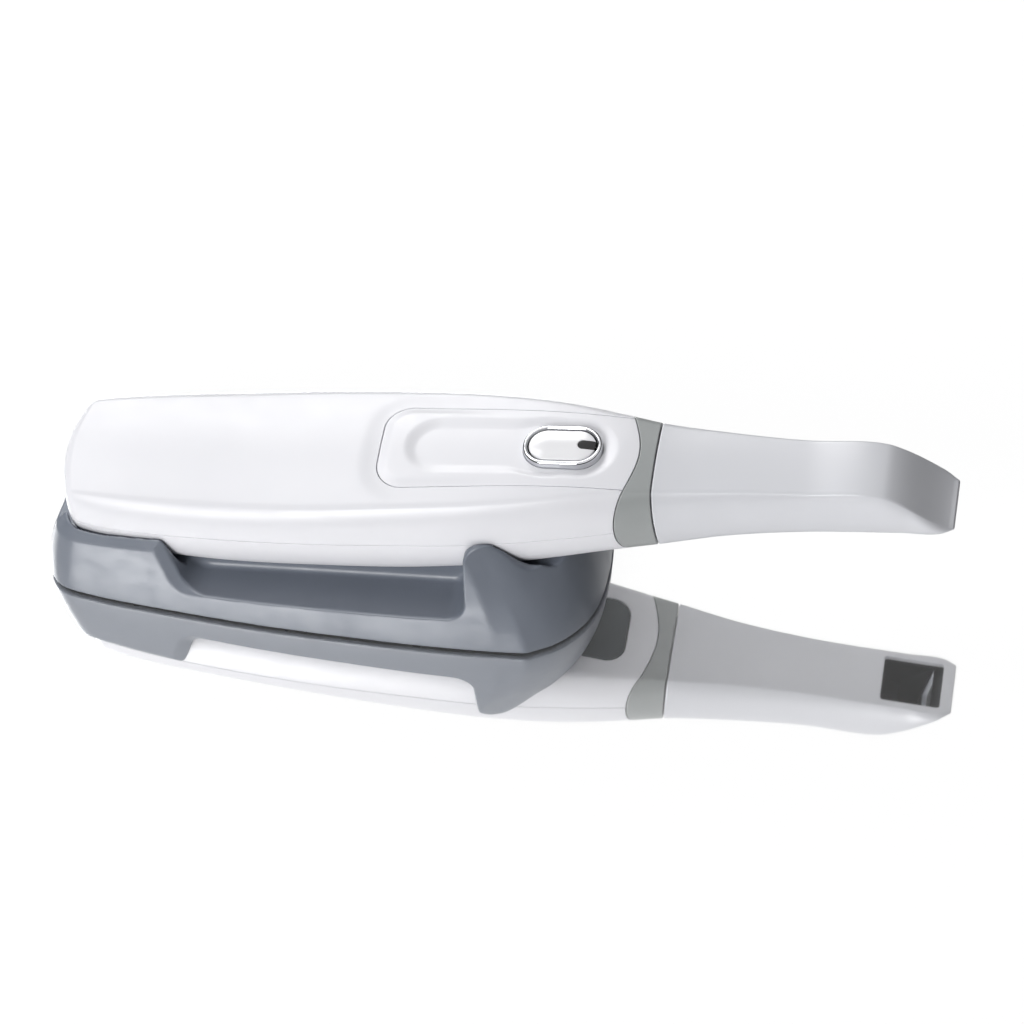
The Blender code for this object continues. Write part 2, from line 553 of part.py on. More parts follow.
def build_cradle(paint):
    """Shell with its seat, finger scoops and cable notch; pads, ballast, base plate, mat and screws."""
    shell = cradle_blank(paint["cradle"])
    plate_top = FOOT_HEIGHT + PLATE_THICK
    ballast_low = plate_top + TOUCH
    ballast_top = ballast_low + BALLAST_THICK
    rebate_outline = cradle_outline(FOOT_HEIGHT, REBATE_INSET)
    rebate = new_object("cut_rebate", prism(rebate_outline, 0.0, ballast_low), None)
    cavity = new_object("cut_cavity", prism(ballast_plan(CAVITY_CLEARANCE), plate_top - 1.0,
                                            ballast_top + TOUCH), None)
    boolean(shell, "DIFFERENCE", *cradle_cutters(), rebate, cavity)

    plate_outline = cradle_outline(FOOT_HEIGHT, REBATE_INSET + TOUCH)
    plate = new_object("base_plate", prism(plate_outline, FOOT_HEIGHT, plate_top), paint["steel"])
    new_object("ballast_weight", prism(ballast_plan(0.0), ballast_low, ballast_top), paint["steel"])
    new_object("base_mat", prism(cradle_outline(FOOT_HEIGHT, MAT_INSET), 0.0, MAT_THICK), paint["rubber"])
    head_top = FOOT_HEIGHT + 0.6
    shank_top = FOOT_HEIGHT + BASE_SCREW_LENGTH
    for number, (x, y) in enumerate(BASE_SCREW_AT, 1):
        at = (x * LENGTHEN, y)
        hole_profile = [(SCREW_HEAD + TOUCH, 0.0), (SCREW_HEAD + TOUCH, head_top + TOUCH),
                        (SCREW_SHANK + TOUCH, head_top + TOUCH), (SCREW_SHANK + TOUCH, shank_top + 0.5)]
        hole = new_object(f"cut_base_screw_{number}", turned(hole_profile, at), None)
        boolean(plate, "DIFFERENCE", hole)
        boolean(shell, "DIFFERENCE", hole)
        screw_profile = [(SCREW_HEAD, FOOT_HEIGHT + 0.05), (SCREW_HEAD, head_top),
                         (SCREW_SHANK, head_top + 0.15), (SCREW_SHANK, shank_top)]
        new_object(f"base_screw_{number}", turned(screw_profile, at, 12), paint["steel"])

    across = np.linspace(*PAD_QUARTERS, 9)
    for word, span in PAD_STATIONS.items():
        stations = np.linspace(*span, 4)
        strip = wand_rows(across, stations, -TOUCH) + wand_rows(across, stations, -TOUCH - PAD_THICK)[::-1]
        pad = new_object(f"{word}_seat_pad", grid_mesh(np.array(strip), loop_rows=True, cap_columns=True),
                         paint["rubber"])
        pad.matrix_world = wand_matrix()


def wand_matrix():
    """Places the wand's own frame in the cradle's."""
    return Matrix.Translation(Vector(TAIL_POINT) * MM) @ Matrix.Rotation(-WAND_TILT, 4, "Y")


def build_button(frame, paint):
    """Chrome bezel, pressed cap with its indicator window, and the switch under it."""
    at = [BUTTON_STATION, 0]
    bezel_rows = [np.column_stack([stadium(BEZEL_LENGTH - 2 * d, BEZEL_WIDTH - 2 * d) + at, np.full(18, z)])
                  for d, z in ((0, BEZEL_TOP - BEZEL_DEPTH), (0, BEZEL_TOP - 0.4), (0.4, BEZEL_TOP),
                               (BEZEL_RIM - 0.2, BEZEL_TOP), (BEZEL_RIM, BEZEL_TOP - 0.3),
                               (BEZEL_RIM, BEZEL_TOP - BEZEL_DEPTH))]
    new_object("button_bezel", grid_mesh(np.array(bezel_rows), loop_rows=True, loop_columns=True),
               paint["chrome"], frame)

    length = BEZEL_LENGTH - 2 * BEZEL_RIM - 2 * TOUCH
    width = BEZEL_WIDTH - 2 * BEZEL_RIM - 2 * TOUCH
    low = BEZEL_TOP - BEZEL_DEPTH - 0.4
    cap_rows = [np.column_stack([stadium(length - 2 * d, width - 2 * d) + at, np.full(18, z)])
                for d, z in ((0, low), (0, BUTTON_SIDE_TOP), (0.5, BUTTON_SIDE_TOP + 0.35),
                             (1.6, BUTTON_TOP - 0.15), (2.9, BUTTON_TOP))]
    cap = new_object("scan_button", grid_mesh(np.array(cap_rows), loop_columns=True, cap_rows=True),
                     paint["white"], frame)
    front = BUTTON_STATION + length / 2
    slot_middle = [front - INDICATOR_LENGTH / 2 + 0.6, 0]
    slot_outline = stadium(INDICATOR_LENGTH + 2 * TOUCH, INDICATOR_WIDTH + 2 * TOUCH) + slot_middle
    slot = new_object("cut_indicator", prism(slot_outline, BUTTON_TOP - 1.4, BUTTON_TOP + 2), None, frame)
    boolean(cap, "DIFFERENCE", slot)
    lens = stadium(INDICATOR_LENGTH, INDICATOR_WIDTH) + slot_middle
    lens = np.column_stack([np.minimum(lens[:, 0], front - 0.3), lens[:, 1]])
    new_object("indicator_lens", prism(lens, BUTTON_TOP - 1.1, BUTTON_SIDE_TOP + 0.45), paint["dark"], frame)

    stem_top = low - TOUCH - BUTTON_TRAVEL
    switch_top = stem_top - PLUNGER_HEIGHT
    body = block(BUTTON_STATION - SWITCH_WIDTH / 2, BUTTON_STATION + SWITCH_WIDTH / 2, SWITCH_WIDTH,
                 switch_top - SWITCH_HEIGHT, switch_top)
    switch = new_object("button_switch", body, paint["dark"], frame)
    stem = rod(PLUNGER_RADIUS, switch_top - ROOTED, stem_top, at, 12, "Z")
    plunger = new_object("join_plunger", stem, None, frame)
    boolean(switch, "UNION", plunger)
    return switch_top - SWITCH_HEIGHT


def build_inside(frame, paint, switch_foot):
    """Deck, boards, optical modules, heat sink and cable socket."""
    deck_top = DECK_HEIGHT + DECK_THICK
    rooted = DECK_HEIGHT + ROOTED
    deck = new_object("chassis_deck", block(DECK_START, DECK_END, DECK_WIDTH, DECK_HEIGHT, deck_top),
                      paint["metal"], frame)
    posts = [(s, y) for s in (DECK_START + 8, BOARD_END - 8) for y in (POST_SIDE, -POST_SIDE)]
    for number, at in enumerate(posts, 1):
        post = new_object(f"join_post_{number}", rod(POST_RADIUS, rooted, BOARD_HEIGHT - TOUCH, at, 10, "Z"),
                          None, frame)
        boolean(deck, "UNION", post)
    small_board_top = switch_foot - TOUCH
    small_board_low = small_board_top - SMALL_BOARD_THICK
    for word, y in (("far", LEG_SIDE), ("near", -LEG_SIDE)):
        column = block(BUTTON_STATION - LEG_LENGTH / 2, BUTTON_STATION + LEG_LENGTH / 2, LEG_WIDTH, rooted,
                       small_board_low - TOUCH, y)
        leg = new_object(f"join_leg_{word}", column, None, frame)
        boolean(deck, "UNION", leg)
    new_object("button_board", block(BUTTON_STATION - SMALL_BOARD_LENGTH / 2,
                                     BUTTON_STATION + SMALL_BOARD_LENGTH / 2, SMALL_BOARD_WIDTH,
                                     small_board_low, small_board_top), paint["board"], frame)
    board_top = BOARD_HEIGHT + BOARD_THICK
    new_object("main_board", block(BOARD_START, BOARD_END, BOARD_WIDTH, BOARD_HEIGHT, board_top),
               paint["board"], frame)

    sink_low = board_top + TOUCH
    sink = new_object("heat_sink", block(SINK_START, SINK_END, SINK_WIDTH, sink_low, sink_low + SINK_BASE),
                      paint["metal"], frame)
    fin_side = (SINK_WIDTH - 2.0) / 2
    for number, y in enumerate(np.linspace(-fin_side, fin_side, FIN_COUNT), 1):
        fin = new_object(f"join_fin_{number}", block(SINK_START, SINK_END, FIN_THICK, sink_low + ROOTED,
                                                     sink_low + FIN_HEIGHT, y), None, frame)
        boolean(sink, "UNION", fin)

    module_low = deck_top + TOUCH
    axis_h = module_low + MODULE_HEIGHT / 2
    lens_end = BARREL_END - 1.0
    for word, y, colour in (("camera", MODULE_SIDE, "dark"), ("projector", -MODULE_SIDE, "metal")):
        box = block(MODULE_START, MODULE_END, MODULE_WIDTH - TOUCH, module_low, module_low + MODULE_HEIGHT, y)
        module = new_object(f"{word}_module", box, paint[colour], frame)
        axis = (y, axis_h)
        barrel = new_object(f"join_{word}_barrel", rod(BARREL_RADIUS, MODULE_END - 1.0, BARREL_END, axis, 20),
                            None, frame)
        bore = new_object(f"cut_{word}_bore", rod(LENS_RADIUS, MODULE_END + 2.0, BARREL_END + 5, axis, 20),
                          None, frame)
        boolean(module, "UNION", barrel)
        boolean(module, "DIFFERENCE", bore)
        new_object(f"{word}_lens", rod(LENS_RADIUS - TOUCH, lens_end - LENS_THICK, lens_end, axis, 20),
                   paint["glass"], frame)

    socket = new_object("cable_socket", rod(SOCKET_RADIUS, 0.4, SOCKET_LENGTH, (0, 0), 24), paint["metal"],
                        frame)
    bore = new_object("cut_socket_bore", rod(SOCKET_BORE, -5.0, SOCKET_LENGTH - 2.0, (0, 0), 24), None, frame)
    boolean(socket, "DIFFERENCE", bore)


def build_mirror(frame, paint):
    """Flat mirror lying just under the slanted end face, across the beam."""
    start, end = TIP_SHOULDER + 2.4, TIP_END - 5.4
    low = MIRROR_DEPTH + MIRROR_THICK
    outline = [(s, float(smooth(CROWN_HEIGHT, s)) - depth)
               for s, depth in ((start, MIRROR_DEPTH), (end, MIRROR_DEPTH), (end, low), (start, low))]
    new_object("tip_mirror", prism(outline, -MIRROR_HALF_WIDTH, MIRROR_HALF_WIDTH, "Y"), paint["chrome"],
               frame)


def build_screws(frame, paint, lower):
    """Two screws that close the housings under the tail, in sunk holes."""
    foot = float(skin(HOUSING_SCREW_STATION, 3.0)[1]) + BOSS
    step = foot + 1.0
    hole_profile = [(SCREW_HEAD + TOUCH, -25.0), (SCREW_HEAD + TOUCH, step), (SCREW_SHANK + TOUCH, step),
                    (SCREW_SHANK + TOUCH, step + 3.0)]
    screw_profile = [(SCREW_HEAD, foot - 0.9), (SCREW_HEAD, step - TOUCH), (SCREW_SHANK, step - 0.2),
                     (SCREW_SHANK, DECK_HEIGHT - TOUCH)]
    for number, y in ((1, HOUSING_SCREW_SIDE), (2, -HOUSING_SCREW_SIDE)):
        at = (HOUSING_SCREW_STATION, y)
        hole = new_object(f"cut_housing_screw_{number}", turned(hole_profile, at), None, frame)
        boolean(lower, "DIFFERENCE", hole)
        new_object(f"housing_screw_{number}", turned(screw_profile, at, 12), paint["steel"], frame)


def main():
    """Clears the scene and builds every piece."""
    for obj in list(bpy.data.objects):
        bpy.data.objects.remove(obj, do_unlink=True)
    paint = {
        "white": plastic("white ABS", (0.86, 0.86, 0.88), 0.35),
        "panel": plastic("white ABS inlay", (0.88, 0.88, 0.9), 0.3),
        "collar": plastic("grey ABS", (0.36, 0.38, 0.38), 0.4),
        "tip": plastic("pale grey polymer", (0.62, 0.63, 0.66), 0.35),
        "dark": plastic("dark soft-touch", (0.05, 0.06, 0.065), 0.5),
        "cradle": plastic("slate ABS", (0.16, 0.18, 0.2), 0.35),
        "rubber": plastic("black rubber", (0.01, 0.01, 0.012), 0.7),
        "board": plastic("green circuit board", (0.02, 0.16, 0.07), 0.4),
        "metal": plastic("machined aluminium", (0.7, 0.7, 0.72), 0.3, 1.0),
        "steel": plastic("zinc-plated steel", (0.5, 0.5, 0.52), 0.4, 1.0),
        "chrome": plastic("chrome plate", (0.75, 0.76, 0.78), 0.08, 1.0),
        "glass": plastic("glass", (0.8, 0.85, 0.9), 0.05),
    }
    frame = bpy.data.objects.new("wand_frame", None)
    bpy.context.scene.collection.objects.link(frame)
    frame.matrix_world = wand_matrix()
    lower = build_housings(frame, paint)
    build_nose(frame, paint)
    build_tip(frame, paint)
    build_mirror(frame, paint)
    switch_foot = build_button(frame, paint)
    build_inside(frame, paint, switch_foot)
    build_screws(frame, paint, lower)
    build_cradle(paint)


main()
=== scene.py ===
"""Looks of a hand-held intraoral scanner that lies tip-up in its desk cradle.

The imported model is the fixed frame. Visible shells are made again here as finer surfaces of the
same sizes, and every part is dressed in a procedural material. Lengths are in millimetres until a
mesh is written. The wand is worked out in its own frame: s along it from the tail, y across, h up
from its parting plane.
"""

from __future__ import annotations

import json
import logging
import math
from collections.abc import Callable, Sequence
from dataclasses import dataclass, field
from enum import Enum

import bpy
import numpy as np
from mathutils import Matrix, Vector

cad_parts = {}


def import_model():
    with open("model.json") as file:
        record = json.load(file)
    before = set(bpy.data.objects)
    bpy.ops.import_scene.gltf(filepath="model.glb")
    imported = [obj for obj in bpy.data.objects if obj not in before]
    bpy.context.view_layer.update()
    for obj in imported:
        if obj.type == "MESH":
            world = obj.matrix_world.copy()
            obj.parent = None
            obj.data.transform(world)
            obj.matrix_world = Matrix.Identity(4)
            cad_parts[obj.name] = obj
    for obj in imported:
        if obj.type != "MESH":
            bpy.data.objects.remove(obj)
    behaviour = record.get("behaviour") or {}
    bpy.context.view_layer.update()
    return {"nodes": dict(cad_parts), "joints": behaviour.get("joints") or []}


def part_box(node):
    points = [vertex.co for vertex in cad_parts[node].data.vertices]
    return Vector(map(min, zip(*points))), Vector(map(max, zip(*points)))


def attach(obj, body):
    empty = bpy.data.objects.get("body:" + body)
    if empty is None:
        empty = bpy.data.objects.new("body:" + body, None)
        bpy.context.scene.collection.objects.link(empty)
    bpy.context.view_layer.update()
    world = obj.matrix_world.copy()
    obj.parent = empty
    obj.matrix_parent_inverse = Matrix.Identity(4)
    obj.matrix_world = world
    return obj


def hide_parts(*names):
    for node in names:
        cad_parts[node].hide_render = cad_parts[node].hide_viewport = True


Array = np.ndarray
Table = Sequence[tuple[float, float]]
LOG = logging.getLogger("intraoral_scanner")

MM = 0.001
SEAM_GAP = 0.16  # visible gap at a moulded joint
FAR_AWAY = 50.0  # a distance that no edge on the object reaches


class Body(Enum):
    """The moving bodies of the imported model."""

    CRADLE = "cradle"
    WAND = "wand"
    BUTTON = "button"
    TIP = "tip"


# ---------------------------------------------------------------- curves and rounding
def smooth_curve(points: Table, at: Array | float) -> Array:
    """Cubic Hermite curve through a table, flat at its turning points.

    Each span uses the mean slope of the two chords that meet at its ends.

    Args:
        points: (position, value) pairs in rising order of position.
        at: Positions to read.

    Returns:
        The curve's values, held at its end values outside the table.
    """
    x, y = np.array(points, float).T
    rise = np.diff(y) / np.diff(x)
    slope = np.concatenate([rise[:1], (rise[:-1] + rise[1:]) / 2, rise[-1:]])
    slope[1:-1][rise[:-1] * rise[1:] <= 0] = 0
    at = np.clip(at, x[0], x[-1])
    i = np.clip(np.searchsorted(x, at, side="right") - 1, 0, len(x) - 2)
    width = x[i + 1] - x[i]
    t = (at - x[i]) / width
    return (y[i] * (1 + 2 * t) * (1 - t) ** 2 + y[i + 1] * t * t * (3 - 2 * t)
            + width * (slope[i] * t * (1 - t) ** 2 - slope[i + 1] * t * t * (1 - t)))


def ease(low: float, high: float, at: Array) -> Array:
    """Smooth step: 0 below low, 1 above high, 3t^2 - 2t^3 between them.

    Args:
        low: Where the step starts.
        high: Where it ends.
        at: Values to read.

    Returns:
        The step's height at each value.
    """
    t = np.clip((at - low) / (high - low), 0.0, 1.0)
    return t * t * (3 - 2 * t)


def round_and(a: Array, b: Array, radius: float) -> Array:
    """Both shapes' common part, its outer edge rounded by a quarter circle.

    Args:
        a: Distance to the first shape, negative inside.
        b: Distance to the second shape, negative inside.
        radius: Radius of the rounding.

    Returns:
        Distance to the common part, negative inside.
    """
    reach = np.hypot(np.maximum(a + radius, 0), np.maximum(b + radius, 0))
    return np.minimum(np.maximum(a, b), -radius) + reach


def round_or(a: Array, b: Array, radius: float) -> Array:
    """Both shapes joined, with a fillet where they meet; the rounding of round_and turned inside
    out.
    """
    return -round_and(-a, -b, radius)


# ---------------------------------------------------------------- meshes
def place_mesh(name: str, points: Array, faces: Array, normals: Array | None,
               material: bpy.types.Material) -> bpy.types.Object:
    """Writes one finished piece, its place in its mesh.

    Args:
        name: Name of the piece.
        points: Corners in millimetres in the row frame.
        faces: Corner numbers of triangles or quads.
        normals: A normal for each face corner, in the faces' order, or None to shade by face
            angles.
        material: The piece's material.

    Returns:
        The new object, at the origin.
    """
    sides = faces.shape[1]
    mesh = bpy.data.meshes.new(name)
    mesh.vertices.add(len(points))
    mesh.vertices.foreach_set("co", (points * MM).astype(np.float32).ravel())
    mesh.loops.add(faces.size)
    mesh.loops.foreach_set("vertex_index", faces.astype(np.int32).ravel())
    mesh.polygons.add(len(faces))
    mesh.polygons.foreach_set("loop_start", np.arange(0, faces.size, sides, dtype=np.int32))
    mesh.update(calc_edges=True)
    mesh.shade_smooth()
    if normals is None:
        mesh.set_sharp_from_angle(angle=math.radians(40))
    else:
        mesh.normals_split_custom_set(normals.reshape(-1, 3).astype(np.float32))
    mesh.materials.append(material)
    obj = bpy.data.objects.new(name, mesh)
    bpy.context.scene.collection.objects.link(obj)
    return obj


def rows_to_quads(rows: int, columns: int, around: bool = True, along: bool = False) -> Array:
    """Quads over a grid of points numbered row by row.

    Args:
        rows: Number of rows.
        columns: Points in a row.
        around: Whether each row closes on itself.
        along: Whether the last row meets the first.

    Returns:
        (count, 4) corner numbers.
    """
    i, j = np.meshgrid(np.arange(rows if along else rows - 1),
                       np.arange(columns if around else columns - 1),
                       indexing="ij")
    k, m = (i + 1) % rows, (j + 1) % columns
    corners = (i * columns + j, i * columns + m, k * columns + m, k * columns + j)
    return np.stack([c.ravel() for c in corners], axis=1)


def without_slivers(tris: Array) -> Array:
    """Triangles that have three different corners."""
    return tris[(tris[:, 0] != tris[:, 1]) & (tris[:, 1] != tris[:, 2]) & (tris[:, 0] != tris[:, 2])]


@dataclass
class Patch:
    """Triangles over two parameters, cut along level lines of any function of them."""

    at: Array
    tris: Array

    @classmethod
    def sheet(cls, along: Array, around: Array) -> Patch:
        """Rectangle of the parameter plane.

        Args:
            along: Values of the first parameter.
            around: Values of the second parameter.

        Returns:
            The patch, two triangles to a cell.
        """
        a, b = np.meshgrid(along, around, indexing="ij")
        n = len(around)
        i = (np.arange(len(along) - 1)[:, None] * n + np.arange(n - 1)).ravel()
        lower = np.column_stack([i, i + n, i + n + 1])
        upper = np.column_stack([i, i + n + 1, i + 1])
        return cls(np.column_stack([a.ravel(), b.ravel()]), np.concatenate([lower, upper]))

    def split(self, value_of: Callable[[Array], Array], level: float) -> None:
        """Puts points where edges cross a level line, so that every triangle lies on one side of
        it.

        A crossing divides its edge in the ratio of the two values' distances from the level.

        Args:
            value_of: Function of the parameter rows.
            level: The value whose line is cut in.
        """
        value = value_of(self.at) - level
        value[np.abs(value) < 1e-6] = 0.0
        side = np.sign(value).astype(int)[self.tris]
        crossed = (side.max(1) > 0) & (side.min(1) < 0)
        if not crossed.any():
            return
        total = side[crossed].sum(1)
        alone = np.argmax(side[crossed] == -total[:, None], axis=1)
        cut = np.take_along_axis(self.tris[crossed], (alone[:, None] + np.arange(3)) % 3, 1)
        through, fan = cut[total == 0], cut[total != 0]
        edges = np.concatenate([through[:, [1, 2]], fan[:, [0, 1]], fan[:, [0, 2]]])
        low, high = np.sort(edges, axis=1).T
        key, index = np.unique(low * len(self.at) + high, return_inverse=True)
        index = index.reshape(-1) + len(self.at)
        low, high = key // len(self.at), key % len(self.at)
        share = (value[low] / (value[low] - value[high]))[:, None]
        self.at = np.concatenate([self.at, self.at[low] * (1 - share) + self.at[high] * share])
        first, second, third = np.split(index, [len(through), len(through) + len(fan)])
        self.tris = np.concatenate([
            self.tris[~crossed],
            np.column_stack([through[:, 0], through[:, 1], first]),
            np.column_stack([through[:, 0], first, through[:, 2]]),
            np.column_stack([fan[:, 0], second, third]),
            np.column_stack([second, fan[:, 1], fan[:, 2]]),
            np.column_stack([second, fan[:, 2], third])])

    def keep(self, value_of: Callable[[Array], Array]) -> None:
        """Drops the triangles whose middle has a value under 0, and then the points that nothing
        uses.

        Args:
            value_of: Function of the parameter rows.
        """
        self.tris = self.tris[value_of(self.at[self.tris].mean(1)) > 0]
        used, index = np.unique(self.tris, return_inverse=True)
        self.at = self.at[used]
        self.tris = index.reshape(-1, 3)

    def close(self, period: float, pole: float) -> None:
        """Joins the points that meet where the second parameter has gone once round, and those past
        a pole.

        Args:
            period: Length of one turn of the second parameter.
            pole: First parameter from which on all points are one.
        """
        turned = self.at.copy()
        turned[:, 1] = np.round(np.mod(turned[:, 1] + 1e-7, period), 6)
        turned[turned[:, 0] > pole] = (pole, 0)
        turned, index = np.unique(np.round(turned, 6), axis=0, return_inverse=True)
        self.at, self.tris = turned, without_slivers(index.reshape(-1)[self.tris])


@dataclass(frozen=True)
class Edge:
    """A trimmed edge: distance(points, parameters) is positive on the piece, and radius rounds its
    corner.
    """

    distance: Callable[[Array, Array], Array]
    radius: float = 0.2


@dataclass
class Shell:
    """A wall of even thickness under a surface of two parameters, trimmed and rounded at its edges.
    """

    point: Callable[[Array], Array]
    edges: list[Edge]
    wall: float | Callable[[Array], Array]
    relief: Callable[[Array, Array], Array] | None = None
    period: float | None = None
    pole: float = math.inf
    outward: int = -1

    STEP = 2e-3  # parameter step of the central differences
    ARC = 5  # points across a rounded corner

    def _raised(self, at: Array) -> Array:
        """The surface with its relief laid along its own normal."""
        base = self.point(at)
        if self.relief is None:
            return base
        return base + self.relief(base, at)[:, None] * self._frame(self.point, at)[2]

    def _frame(self, point: Callable[[Array], Array], at: Array) -> tuple[Array, Array, Array]:
        """Both tangents and the outward unit normal, by central differences."""
        step_a = np.array([self.STEP, 0.0])
        step_b = np.array([0.0, self.STEP])
        along = (point(at + step_a) - point(at - step_a)) / (2 * self.STEP)
        around = (point(at + step_b) - point(at - step_b)) / (2 * self.STEP)
        normal = np.cross(along, around) * self.outward
        length = np.linalg.norm(normal, axis=1, keepdims=True)
        return along, around, normal / np.maximum(length, 1e-12)

    def _nearest(self, at: Array) -> tuple[Array, Array]:
        """Distance to the nearest edge, and that edge's radius."""
        points = self.point(at)
        every = np.array([edge.distance(points, at) for edge in self.edges])
        pick = every.argmin(0)
        return every.min(0), np.array([edge.radius for edge in self.edges])[pick]

    def _inwards(self, at: Array, along: Array, around: Array) -> Array:
        """Unit vector on the surface that leads away from the nearest edge: the gradient in the
        tangent plane.
        """
        step_a = np.array([self.STEP, 0.0])
        step_b = np.array([0.0, self.STEP])
        da = (self._nearest(at + step_a)[0] - self._nearest(at - step_a)[0]) / (2 * self.STEP)
        db = (self._nearest(at + step_b)[0] - self._nearest(at - step_b)[0]) / (2 * self.STEP)
        aa, bb, ab = (np.einsum("ij,ij->i", p, q) for p, q in ((along, along), (around, around),
                                                               (along, around)))
        det = np.maximum(aa * bb - ab * ab, 1e-12)
        way = ((bb * da - ab * db) / det)[:, None] * along + ((aa * db - ab * da)
                                                              / det)[:, None] * around
        return way / np.maximum(np.linalg.norm(way, axis=1, keepdims=True), 1e-9)

    def build(self, patch: Patch) -> tuple[Array, Array, Array]:
        """Trims the patch, rounds its edges and closes it with its inner side and its rim.

        Across a rounded corner of radius r, at distance d from the edge, the surface sinks by r -
        sqrt(r^2 - (r - d)^2) and its normal turns towards the edge by the arcsine of (r - d) / r.

        Args:
            patch: Parameter patch that covers at least the piece.

        Returns:
            Points, triangles and a normal for each triangle corner.
        """
        for edge in self.edges:
            for turn in np.linspace(0, math.pi / 2, self.ARC):
                patch.split(lambda at: edge.distance(self.point(at), at),
                            edge.radius * (1 - math.cos(turn)))
            patch.keep(lambda at: edge.distance(self.point(at), at))
        if self.period is not None:
            patch.close(self.period, self.pole)
        at, tris = patch.at, patch.tris
        along, around, normal = self._frame(self._raised, at)
        distance, radius = self._nearest(at)
        inwards = self._inwards(at, along, around)
        sine = np.clip((radius - distance) / radius, 0, 1)
        cosine = np.sqrt(1 - sine ** 2)
        outer = self._raised(at) - normal * (radius * (1 - cosine))[:, None]
        thick = self.wall(at) if callable(self.wall) else np.full(len(at), self.wall)
        inner = self.point(at) - normal * thick[:, None]
        shaded = normal * cosine[:, None] - inwards * sine[:, None]

        if self.outward < 0:
            tris = tris[:, ::-1]
        count = len(at)
        ends = np.concatenate([tris[:, [0, 1]], tris[:, [1, 2]], tris[:, [2, 0]]])
        low, high = np.sort(ends, axis=1).T
        _, index, uses = np.unique(low * count + high, return_inverse=True, return_counts=True)
        rim = ends[uses[index.reshape(-1)] == 1]
        walls = np.concatenate([np.column_stack([rim[:, 1], rim[:, 0], rim[:, 0] + count]),
                                np.column_stack([rim[:, 1], rim[:, 0] + count, rim[:, 1] + count])])
        faces = np.concatenate([tris, tris[:, ::-1] + count, walls])
        normals = np.concatenate([shaded[tris], -normal[tris[:, ::-1]], -inwards[walls % count]])
        return np.concatenate([outer, inner]), faces, normals


@dataclass(frozen=True)
class SurfaceNet:
    """Mesh of a solid that a distance function describes, on a grid of uneven spacing."""

    field_of: Callable[[Array], Array]
    lines: tuple[Array, Array, Array]
    settle: int = 4

    STEP = 0.02
    LONGEST_MOVE = 0.8

    def gradient(self, points: Array) -> Array:
        """Central differences of the field along the three axes."""
        steps = np.eye(3) * self.STEP
        parts = [self.field_of(points + step) - self.field_of(points - step) for step in steps]
        return np.stack(parts, axis=1) / (2 * self.STEP)

    def build(self) -> tuple[Array, Array, Array]:
        """One point to each cell that the surface passes, then moved onto it.

        A cell's point starts at the mean of the crossings on its edges. Each round moves the points
        towards the mean of their neighbours and then back along the gradient by the field's value
        over its slope.

        Returns:
            Points, quads and a normal for each quad corner.
        """
        shape = tuple(len(line) for line in self.lines)
        nodes = np.stack(np.meshgrid(*self.lines, indexing="ij"), axis=-1)
        value = self.field_of(nodes.reshape(-1, 3)).reshape(shape)
        cells = tuple(n - 1 for n in shape)
        total, count = np.zeros((*cells, 3)), np.zeros(cells)
        crossings = []
        for axis in range(3):
            lower = tuple(slice(0, -1) if k == axis else slice(None) for k in range(3))
            upper = tuple(slice(1, None) if k == axis else slice(None) for k in range(3))
            v0, v1 = value[lower], value[upper]
            edge = np.argwhere((v0 < 0) != (v1 < 0))
            others = [k for k in range(3) if k != axis]
            inner = ((edge[:, others] > 0) & (edge[:, others] < np.array(cells)[others])).all(1)
            edge = edge[inner]
            i, j, k = edge.T
            a, b = v0[i, j, k], v1[i, j, k]
            t = (a / (a - b))[:, None]
            where = nodes[lower][i, j, k] * (1 - t) + nodes[upper][i, j, k] * t
            around = []
            for back in ((0, 0), (1, 0), (1, 1), (0, 1)):
                cell = edge.copy()
                cell[:, others] -= back
                np.add.at(total, tuple(cell.T), where)
                np.add.at(count, tuple(cell.T), 1)
                around.append(np.ravel_multi_index(tuple(cell.T), cells))
            quads = np.stack(around, axis=1)
            leaving = (a < 0) == (axis != 1)
            crossings.append(np.where(leaving[:, None], quads, quads[:, ::-1]))
        quads = np.concatenate(crossings)
        used, index = np.unique(quads, return_inverse=True)
        quads = index.reshape(-1, 4)
        points = (total.reshape(-1, 3) / np.maximum(count.reshape(-1, 1), 1))[used]
        ends = np.concatenate([quads[:, [k, (k + 1) % 4]] for k in range(4)])
        ends = np.concatenate([ends, ends[:, ::-1]])
        neighbours = np.bincount(ends[:, 0], minlength=len(points))[:, None]
        for turn in range(self.settle + 1):
            if turn:
                mean = np.stack([np.bincount(ends[:, 0], weights=points[ends[:, 1], k],
                                             minlength=len(points))
                                 for k in range(3)], axis=1) / neighbours
                points = points + 0.5 * (mean - points)
            for _ in range(2):
                slope = self.gradient(points)
                move = (self.field_of(points) / np.maximum((slope ** 2).sum(1),
                                                           0.05))[:, None] * slope
                far = np.linalg.norm(move, axis=1, keepdims=True)
                points = points - move * np.minimum(1, self.LONGEST_MOVE / np.maximum(far, 1e-9))
        slope = self.gradient(points)
        normal = slope / np.maximum(np.linalg.norm(slope, axis=1, keepdims=True), 1e-9)
        return points, quads, normal[quads]


def clustered(low: float, high: float, coarse: float, fine: float,
              near: Sequence[tuple[float, float]]) -> Array:
    """Grid lines that crowd together round chosen places.

    The spacing is fine within reach of a place and grows to coarse over the same distance again.

    Args:
        low: First line.
        high: About where the last line lies.
        coarse: Spacing in the open.
        fine: Spacing near a place.
        near: (place, reach) pairs.

    Returns:
        The lines' positions.
    """
    lines = [low]
    while lines[-1] < high:
        spare = min((max(abs(lines[-1] - place) - reach, 0) / reach for place, reach in near),
                    default=1.0)
        lines.append(lines[-1] + fine + (coarse - fine) * min(spare, 1.0))
    return np.array(lines)


